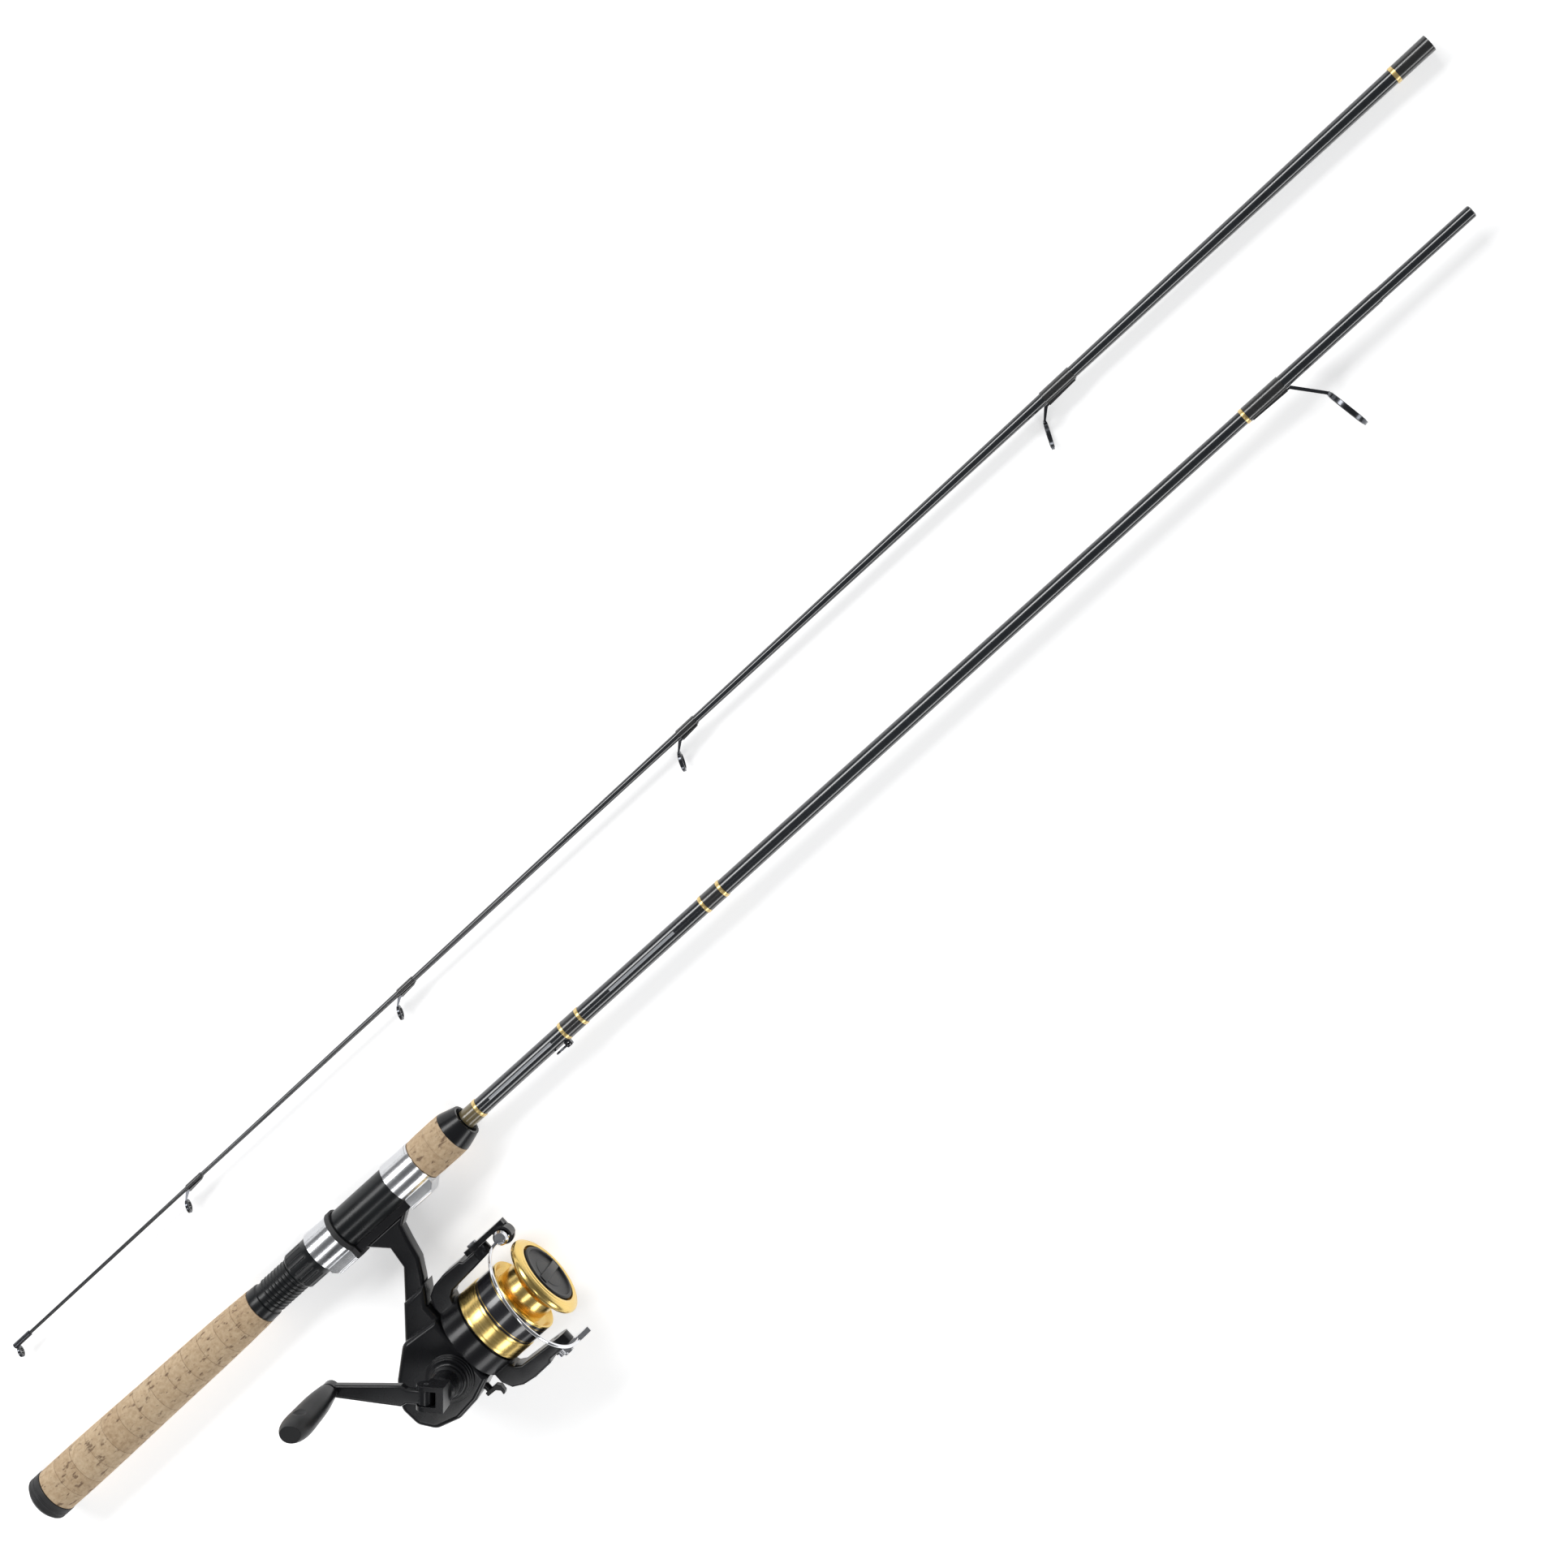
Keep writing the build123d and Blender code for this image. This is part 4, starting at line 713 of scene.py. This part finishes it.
# ---------------------------------------------------------------- the studio
@dataclass
class Studio:
    """Pale floor, soft lights and the camera."""

    distance: float = 1.55
    lean: float = radians(11.5)
    along: float = 0.5835
    beside: float = 0.0186
    tilt: float = radians(42.25)
    width: float = 36.0
    focal: float = 3700.0 / 1932    # lens length as a share of the sensor's width
    floor_half: float = 6.0
    floor_gap: float = 0.0002
    glow: float = 0.5
    sky: float = 0.17

    def camera(self) -> None:
        """Stand the camera over the rod's side, leaning towards its ferrule end."""
        target = Vector((self.along, self.beside, 0.0))
        ahead = Vector((-sin(self.lean), 0.0, -cos(self.lean)))
        along = Vector((cos(self.lean), 0.0, -sin(self.lean)))
        across = Vector((0.0, 1.0, 0.0))
        right = along * cos(self.tilt) - across * sin(self.tilt)
        up = along * sin(self.tilt) + across * cos(self.tilt)
        turn = Matrix((right, up, -ahead)).transposed().to_4x4()
        data = bpy.data.cameras.new("camera")
        data.sensor_width = self.width
        data.lens = self.focal * self.width
        data.clip_end = 20.0
        camera = bpy.data.objects.new("camera", data)
        camera.matrix_world = ROD_TO_ROW @ Matrix.Translation(target - ahead * self.distance) @ turn
        bpy.context.scene.collection.objects.link(camera)
        bpy.context.scene.camera = camera

    def floor(self) -> None:
        """Lay the pale sheet that the rod lies on."""
        mesh = bmesh.new()
        bmesh.ops.create_grid(mesh, x_segments=2, y_segments=2, size=self.floor_half)
        bmesh.ops.translate(mesh, vec=(0.5, 0.0, cad_low[2] - self.floor_gap), verts=mesh.verts)
        data = bpy.data.meshes.new("floor")
        mesh.to_mesh(data)
        mesh.free()
        floor = bpy.data.objects.new("floor", data)
        bpy.context.scene.collection.objects.link(floor)
        net = Net("floor_pale")
        cloud = net.noise(net.place(), 3.0, 2.0)
        net.set(Base_Color=net.mix(cloud, (0.86, 0.86, 0.86), (0.88, 0.88, 0.88)), Roughness=0.9,
                Emission_Color=(1.0, 1.0, 1.0, 1.0), Emission_Strength=self.glow)
        data.materials.append(net.material)

    def lamp(self, name: str, at: Sequence[float], to: Sequence[float], size: tuple[float, float],
             power: float) -> None:
        """Hang one soft box.

        Args:
            name: the lamp's name.
            at: where it hangs, in metres.
            to: the point that it aims at.
            size: its width and height in metres.
            power: its power in watts.
        """
        data = bpy.data.lights.new(name, "AREA")
        data.shape = "RECTANGLE"
        data.size, data.size_y = size
        data.energy = power
        light = bpy.data.objects.new(name, data)
        aim = (Vector(to) - Vector(at)).to_track_quat("-Z", "Y")
        light.matrix_world = Matrix.Translation(Vector(at)) @ aim.to_matrix().to_4x4()
        bpy.context.scene.collection.objects.link(light)

    def build(self) -> None:
        """Set the whole studio."""
        self.camera()
        self.floor()
        self.lamp("key", (0.3, 1.7, 1.3), (0.4, 0.0, 0.0), (2.2, 0.6), 36.0)
        self.lamp("fill", (0.3, -1.8, 1.1), (0.4, 0.0, 0.0), (2.2, 0.6), 20.0)
        self.lamp("strip", (-0.7, -0.2, 1.9), (0.3, 0.0, 0.0), (0.3, 1.2), 5.0)
        world = bpy.data.worlds.new("studio")
        world.use_nodes = True
        back = world.node_tree.nodes["Background"]
        back.inputs["Color"].default_value = (0.95, 0.97, 1.0, 1.0)
        back.inputs["Strength"].default_value = self.sky
        bpy.context.scene.world = world
        bpy.context.scene.view_settings.view_transform = "Standard"


# ---------------------------------------------------------------- measuring the frame
def span(node: str) -> tuple[float, float]:
    """First and last station of a node along the rod, in millimetres."""
    low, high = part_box(node)
    return low.x / MM, high.x / MM


def islands(node: str) -> list[list[Vector]]:
    """Points of each separate solid of a node.

    Args:
        node: the CAD node.

    Returns:
        Each solid's points in millimetres and in the rod's own frame, the solids sorted along the rod.
    """
    mesh = bmesh.new()
    mesh.from_mesh(frame["nodes"][node].data)
    bmesh.ops.remove_doubles(mesh, verts=mesh.verts, dist=MERGE)
    left = set(mesh.verts)
    groups = []
    while left:
        edge = [left.pop()]
        group = list(edge)
        while edge:
            found = [link.other_vert(vert) for vert in edge for link in vert.link_edges]
            edge = [vert for vert in set(found) if vert in left]
            left.difference_update(edge)
            group += edge
        groups.append([ROW_TO_ROD @ vert.co / MM for vert in group])
    mesh.free()
    return sorted(groups, key=lambda points: min(point.x for point in points))


def radius_at(points: Sequence[Vector], x: float, axis: Vector) -> float:
    """Outer radius of a turned solid at a station, between its nearest rings of points.

    Args:
        points: the solid's points in millimetres.
        x: the station.
        axis: a point of the line that it is turned about, which lies along the rod.

    Returns:
        The radius in millimetres.
    """
    rings: dict[float, float] = {}
    for point in points:
        ring = round(point.x, 1)
        rings[ring] = max(rings.get(ring, 0.0), sqrt((point.y - axis.y) ** 2 + (point.z - axis.z) ** 2))
    least = max(rings.values()) * 0.7
    outer = sorted((ring, radius) for ring, radius in rings.items() if radius > least)
    before = max((pair for pair in outer if pair[0] <= x), default=outer[0])
    after = min((pair for pair in outer if pair[0] >= x), default=outer[-1])
    share = (x - before[0]) / (after[0] - before[0]) if after[0] > before[0] else 0.0
    return before[1] + (after[1] - before[1]) * min(max(share, 0.0), 1.0)


# ---------------------------------------------------------------- grips and seat
@dataclass
class Handle:
    """Butt cap, cork grips, threaded barrel with its seat tube, trim ring and winding check."""

    rings_rear: int = 13
    rings_fore: int = 2
    seam: float = 0.10
    seam_edge: float = 0.14     # from a seam to the full radius beside it
    end_edge: float = 0.5       # eased end of the grip
    ring_crown: float = 0.03    # a ring's middle over its ends
    bore: float = 6.2
    cap_groove: float = 0.35
    thread_start: float = 8.0   # from the barrel's end
    tube_length: float = 69.7
    pitch: float = 2.5
    root: float = 9.4
    crest: float = 10.0
    turn_steps: int = 64

    def cork(self, node: str, rings: int) -> None:
        """One grip as cork rings with a fine seam between neighbours.

        Args:
            node: the grip's CAD node.
            rings: how many rings it has.
        """
        first, last = span(node)
        points = islands(node)[0]
        axis = Vector((0, 0, 0))
        width = (last - first) / rings
        outline = [(first, self.bore), (first, radius_at(points, first, axis) - self.end_edge)]
        for ring in range(rings):
            near = first + ring * width
            radii = [radius_at(points, near + width * share, axis) for share in (0.05, 0.5, 0.95)]
            edge = self.end_edge if ring == 0 else self.seam_edge
            outline += [(near + edge, radii[0] - self.ring_crown), (near + width * 0.5, radii[1]),
                        (near + width - self.seam_edge, radii[2] - self.ring_crown)]
            if ring < rings - 1:
                outline.append((near + width, radii[2] - self.ring_crown - self.seam))
        outline += [(last, outline[-1][1] - 0.4), (last, self.bore)]
        keep(lathe(outline, steps=128), f"{node}_cork", Finish.CORK, Body.ROOT, node)

    def cap(self) -> None:
        """Rubber cap with two grooves and a shallow dish on its end."""
        first, last = span("butt_cap")
        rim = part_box("butt_cap")[1].z / MM
        groove = self.cap_groove
        outline = rounded([
            (last, 5.9, 0), (last, rim, 0.5), (first + 7.9, rim, 0.15), (first + 7.6, rim - groove, 0.15),
            (first + 6.9, rim - groove, 0.15), (first + 6.6, rim, 0.15), (first + 5.4, rim, 0.15),
            (first + 5.1, rim - groove, 0.15), (first + 4.4, rim - groove, 0.15), (first + 4.1, rim, 0.15),
            (first + 3.0, rim, 1.2), (first, rim - 3.5, 1.6), (first, 7.0, 0.8), (first + 0.8, 5.6, 0.8),
            (first + 0.8, 0.0, 0)])
        keep(lathe(outline, closed=False), "butt_cap_rubber", Finish.RUBBER, Body.ROOT, "butt_cap")

    def barrel(self) -> None:
        """Threaded barrel and seat tube in one, with a thread that really climbs."""
        first, last = span("reel_seat")
        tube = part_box("reel_seat")[1].z / MM
        thread_from = first + self.thread_start
        tube_from = last - self.tube_length
        outline = rounded([
            (first, self.bore, 0), (first, self.crest + 0.6, 0.3), (first + 6.0, self.crest + 0.3, 0.4),
            (first + 6.4, self.root, 0.2), (tube_from - 0.2, self.root, 0.2), (tube_from, tube - 0.4, 0.1),
            (tube_from + 0.4, tube, 0.15), (last, tube, 0.1), (last, self.bore, 0)])
        keep(lathe(outline, steps=128), "seat_tube", Finish.SEAT, Body.ROOT, "reel_seat")
        turns = int((tube_from - 2.0 - thread_from) / self.pitch)
        mesh = bmesh.new()
        corners = [(0.0, self.root - 0.2), (0.65, self.crest - 0.05),
                   (1.15, self.crest - 0.05), (1.8, self.root - 0.2)]
        verts = [mesh.verts.new(((thread_from + x) * MM, 0, r * MM)) for x, r in corners]
        ring = mesh.faces.new(verts)
        bmesh.ops.spin(mesh, geom=verts + list(ring.edges), cent=(0, 0, 0), axis=(1, 0, 0),
                       angle=2 * pi * turns, steps=self.turn_steps * turns,
                       dvec=(self.pitch * MM / self.turn_steps, 0, 0), use_merge=False)
        bmesh.ops.holes_fill(mesh, edges=[edge for edge in mesh.edges if edge.is_boundary], sides=4)
        bmesh.ops.recalc_face_normals(mesh, faces=mesh.faces)
        keep(mesh, "seat_thread", Finish.SEAT, Body.ROOT, ())

    def build(self) -> None:
        """Make every piece."""
        self.cap()
        self.cork("rear_grip", self.rings_rear)
        self.cork("fore_grip", self.rings_fore)
        self.barrel()
        smooth_copy("trim_ring", Finish.SILVER, Body.ROOT)
        smooth_copy("winding_check", Finish.CASTING, Body.ROOT)


@dataclass
class SeatHardware:
    """Polished hoods, the soft liner and the fluted nut."""

    def build(self) -> None:
        """Make every piece."""
        smooth_copy("fixed_hood", Finish.SILVER, Body.ROOT)
        smooth_copy("sliding_hood", Finish.SILVER, Body.HOOD)
        smooth_copy("hood_liner", Finish.RUBBER, Body.HOOD)
        smooth_copy("seat_nut", Finish.SEAT, Body.NUT)


# ---------------------------------------------------------------- blanks, wraps and guides
@dataclass
class Blanks:
    """Both tapered blanks, the whippings and their gold trims."""

    lacquer: float = 0.5
    sunk: float = 0.44          # a sleeve's ends under its full radius
    crown: float = 0.12         # the same at a quarter of its edge

    def sleeves(self, node: str, finish: object, body: Body, axis: Vector) -> None:
        """Lacquered sleeves in place of a node's plain ones.

        Args:
            node: the CAD node, one solid for each sleeve.
            finish: their finish.
            body: the body that they ride on.
            axis: a point of the blank's axis.
        """
        whole = bmesh.new()
        for points in islands(node):
            first = min(point.x for point in points)
            last = max(point.x for point in points)
            ends = [radius_at(points, x, axis) for x in (first, last)]
            edge = min(self.lacquer, (last - first) * 0.2)
            outline = [(first, ends[0] - self.sunk), (first + edge * 0.25, ends[0] - self.crown),
                       (first + edge, ends[0]), (last - edge, ends[1]),
                       (last - edge * 0.25, ends[1] - self.crown), (last, ends[1] - self.sunk)]
            mesh = lathe(outline, steps=64)
            bmesh.ops.translate(mesh, vec=(0, axis.y * MM, axis.z * MM), verts=mesh.verts)
            data = bpy.data.meshes.new("sleeve")
            mesh.to_mesh(data)
            mesh.free()
            whole.from_mesh(data)
        keep(whole, f"{node}_lacquered", finish, body, node)

    def build(self) -> None:
        """Make every piece."""
        smooth_copy("butt_blank", Finish.BLANK_BUTT, Body.ROOT)
        smooth_copy("tip_blank", Finish.BLANK_TIP, Body.TIP)
        smooth_copy("butt_wraps", Finish.THREAD_BUTT, Body.ROOT)
        smooth_copy("tip_wraps", Finish.THREAD, Body.TIP)
        self.sleeves("butt_gold_trims", Finish.GOLD_THREAD, Body.ROOT, Vector((0, 0, 0)))
        smooth_copy("ferrule_gold_trim", Finish.GOLD_THREAD, Body.TIP)
        smooth_copy("keeper_strap", Finish.GUIDE, Body.ROOT)
        smooth_copy("keeper_hook", Finish.GUIDE, Body.KEEPER)


@dataclass
class Guides:
    """Guide frames with their ceramic rings."""

    running: int = 4

    def build(self) -> None:
        """Make every piece."""
        smooth_copy("stripper_frame", Finish.GUIDE, Body.ROOT)
        smooth_copy("stripper_ring", Finish.CERAMIC, Body.ROOT)
        for number in range(1, self.running + 1):
            smooth_copy(f"guide_{number}_frame", Finish.GUIDE, Body.TIP)
            smooth_copy(f"guide_{number}_ring", Finish.CERAMIC, Body.TIP)
        smooth_copy("tip_top", Finish.GUIDE, Body.TIP)
        smooth_copy("tip_top_ring", Finish.CERAMIC, Body.TIP)


# ---------------------------------------------------------------- reel
@dataclass
class ReelBody:
    """Housing with its stem and foot, side cover, screws, bushes and the small lever."""

    half: float = 15.0
    collar: float = 9.9
    boss: float = 13.4
    step: float = 0.9
    rise: float = 1.3
    rings: int = 3

    def boss_rings(self) -> None:
        """Stepped rings round the crank's collar."""
        outline = [(self.half - 0.3, self.collar, 0.0), (self.half - 0.3, self.boss, 0.0)]
        radius, height = self.boss, self.half + self.rise
        for _ in range(self.rings):
            outline += [(height, radius, 0.35), (height, radius - self.step, 0.1)]
            radius -= self.step
            height += self.rise
        outline.append((height - self.rise, self.collar, 0.0))
        mesh = lathe(rounded(outline), steps=96)
        upright = Matrix.Translation((CRANK_AT.x, CRANK_AT.y, 0)) @ Matrix.Rotation(-pi / 2, 4, "Y")
        keep(mesh, "crank_boss_rings", Finish.CASTING, Body.ROOT, (), ROD_TO_ROW @ upright)

    def build(self) -> None:
        """Make every piece."""
        self.boss_rings()
        smooth_copy("reel_body", Finish.CASTING, Body.ROOT)
        smooth_copy("side_cover", Finish.CASTING, Body.ROOT)
        smooth_copy("cover_screws", Finish.STEEL, Body.ROOT)
        smooth_copy("crank_bushes", Finish.BRASS, Body.ROOT)
        smooth_copy("front_bearing", Finish.STEEL, Body.ROOT)
        smooth_copy("anti_reverse_lever", Finish.CASTING, Body.LEVER)


@dataclass
class RotorAndBail:
    """Rotor cup, bail arms, wire, roller and their screws."""

    def build(self) -> None:
        """Make every piece."""
        smooth_copy("rotor", Finish.CASTING, Body.ROTOR)
        smooth_copy("pivot_screws", Finish.STEEL, Body.ROTOR)
        smooth_copy("bail_arm", Finish.CASTING, Body.BAIL)
        smooth_copy("bail_wire", Finish.CHROME, Body.BAIL)
        smooth_copy("bail_holder", Finish.CHROME, Body.BAIL)
        smooth_copy("roller_screw", Finish.CHROME, Body.BAIL)
        smooth_copy("line_roller", Finish.CHROME, Body.ROLLER)


@dataclass
class SpoolAndDrag:
    """Gold spool with its dark band, and the front drag knob."""

    skirt: float = 12.0
    skirt_radius: float = 22.9
    band: float = 13.0
    band_radius: float = 22.4
    arbor_radius: float = 15.8
    lip_radius: float = 24.4
    seat_radius: float = 18.4
    bore: float = 2.05
    knob_radius: float = 17.4
    stack: float = 12.8
    well: float = 22.7
    well_length: float = 12.6
    pocket_depth: float = 5.8
    cut: float = 0.18           # depth of the lines in the skirt
    skirt_wall: float = 0.9
    hollow_wall: float = 2.3
    hollow: float = 21.0        # depth of the skirt's inside
    hub: float = 18.5           # where the bored middle starts
    hub_radius: float = 6.0
    arbor_wall: float = 1.8
    knob_bore: float = 2.06
    bar_height: float = 1.7
    bar_width: float = 4.8
    bar_inset: float = 5.6

    def spool(self) -> None:
        """Turned spool: skirt with two cut lines, line well with a stepped front lip."""
        rear, front = span("spool")
        skirt_end = rear + self.skirt
        band_end = skirt_end + self.band
        well = rear + self.well
        well_end = well + self.well_length
        pocket = well_end - self.pocket_depth
        outer = self.skirt_radius
        sunk = outer - self.cut
        inner = outer - self.skirt_wall
        hollow = outer - self.hollow_wall
        arbor = self.arbor_radius - self.arbor_wall
        outline = rounded([
            (pocket, self.bore, 0), (pocket, self.stack + 0.4, 0), (front - 5.6, self.stack + 0.4, 0),
            (front - 5.6, self.seat_radius, 0.3), (front - 0.5, self.seat_radius, 0.2),
            (front, self.seat_radius + 0.8, 0.5), (front - 0.2, self.lip_radius - 3.6, 0.3),
            (front - 0.6, self.lip_radius - 3.2, 0.2), (front - 0.7, self.lip_radius - 2.6, 0.2),
            (front - 2.2, self.lip_radius - 0.5, 0.8), (front - 3.8, self.lip_radius, 0.7),
            (front - 5.4, self.lip_radius - 0.6, 0.7), (front - 7.6, self.lip_radius - 5.4, 1.4),
            (well_end, self.arbor_radius, 0.8), (well, self.arbor_radius, 0.6),
            (well + 1.0, self.arbor_radius + 3.4, 0.6), (band_end + 1.6, self.band_radius - 1.2, 0.5),
            (band_end + 1.4, self.band_radius - 0.1, 0.3), (band_end, self.band_radius, 0.1),
            (band_end, self.band_radius - 0.8, 0), (skirt_end, self.band_radius - 0.8, 0),
            (skirt_end, outer - 0.1, 0.1), (skirt_end - 0.5, outer, 0.2), (skirt_end - 1.6, outer, 0.1),
            (skirt_end - 1.75, sunk, 0.1), (skirt_end - 2.05, sunk, 0.1), (skirt_end - 2.2, outer, 0.1),
            (rear + 2.6, outer, 0.1), (rear + 2.45, sunk, 0.1), (rear + 2.15, sunk, 0.1),
            (rear + 2.0, outer, 0.1), (rear + 0.3, outer, 0.3), (rear, outer - 0.4, 0.2), (rear, inner, 0),
            (skirt_end - 1.5, inner, 0), (skirt_end, hollow, 0), (rear + self.hollow, hollow, 0),
            (rear + self.hollow, arbor, 0), (pocket - 2, arbor, 0), (pocket - 2, self.hub_radius, 0),
            (rear + self.hub, self.hub_radius, 0), (rear + self.hub, self.bore, 0)])
        keep(lathe(outline, SPOOL_Y, steps=160), "spool_turned", Finish.GOLD, Body.SPOOL, "spool")
        band_from, band_to = span("spool_band")
        ring = rounded([(band_from, self.band_radius - 0.75, 0), (band_from, self.band_radius, 0.25),
                        (band_to, self.band_radius, 0.25), (band_to, self.band_radius - 0.75, 0)])
        gloss = Banded("band_black", band_from * MM, band_to * MM)
        keep(lathe(ring, SPOOL_Y, steps=160), "spool_band_gloss", gloss, Body.SPOOL, "spool_band")

    def drag(self) -> None:
        """Drag knob: a dished disc with a raised bar to turn it by."""
        rear, front = span("drag_knob")
        radius = self.knob_radius
        outline = rounded([
            (rear, self.knob_bore, 0), (rear, self.stack, 0.2), (front - 5.9, self.stack, 0),
            (front - 5.9, radius, 0.3), (front - 1.0, radius, 0.3), (front - 0.4, radius - 0.7, 0.3),
            (front - 0.4, radius - 2.0, 0.2),
            (front - 1.6, radius - 2.6, 0.4), (front - 1.6, 9.0, 0.3), (front - 1.35, 8.7, 0.2),
            (front - 1.35, 0.0, 0), (front - 3.0, 0.0, 0), (front - 3.0, self.knob_bore, 0)], 3)
        keep(lathe(outline, SPOOL_Y, steps=128), "drag_knob_disc", Finish.KNOB, Body.DRAG, "drag_knob")
        mesh = bmesh.new()
        bmesh.ops.create_cube(mesh, size=1.0)
        length = 2 * radius - self.bar_inset
        bmesh.ops.scale(mesh, vec=(self.bar_height * MM, self.bar_width * MM, length * MM), verts=mesh.verts)
        bmesh.ops.translate(mesh, vec=((front - 0.87) * MM, SPOOL_Y, 0), verts=mesh.verts)
        bmesh.ops.bevel(mesh, geom=list(mesh.edges), offset=0.6 * MM, segments=3, profile=0.5, affect="EDGES",
                        material=-1)
        keep(mesh, "drag_knob_bar", Finish.KNOB, Body.DRAG, ())

    def build(self) -> None:
        """Make every piece."""
        self.spool()
        self.drag()


@dataclass
class CrankHandle:
    """Hub, folding arm, knob on its pin and the screw cap."""

    def build(self) -> None:
        """Make every piece."""
        smooth_copy("handle_hub", Finish.CASTING, Body.CRANK)
        smooth_copy("fold_pin", Finish.STEEL, Body.CRANK)
        smooth_copy("handle_arm", Finish.CASTING, Body.ARM)
        smooth_copy("knob_pin", Finish.STEEL, Body.ARM)
        smooth_copy("handle_knob", Finish.KNOB, Body.KNOB)
        smooth_copy("screw_cap", Finish.CASTING, Body.CAP)


@dataclass
class Insides:
    """Gears, shaft and washers, seen only through gaps."""

    steel: tuple[str, ...] = ("main_shaft", "rotor_nut", "gear_stud")
    brass: tuple[str, ...] = ("pinion_gear", "drive_gear", "oscillating_gear", "oscillating_slider")
    felt: tuple[str, ...] = ("drag_washers",)

    def build(self) -> None:
        """Dress the CAD nodes."""
        dress(self.steel, Finish.STEEL)
        dress(self.brass, Finish.BRASS)
        dress(self.felt, Finish.FELT)


def main() -> None:
    """Build the rod and the reel."""
    Studio().build()
    for assembly in (Handle(), SeatHardware(), Blanks(), Guides(), ReelBody(), RotorAndBail(), SpoolAndDrag(),
                     CrankHandle(), Insides()):
        log.info("building %s", type(assembly).__name__)
        assembly.build()


if __name__ == "__main__":
    main()
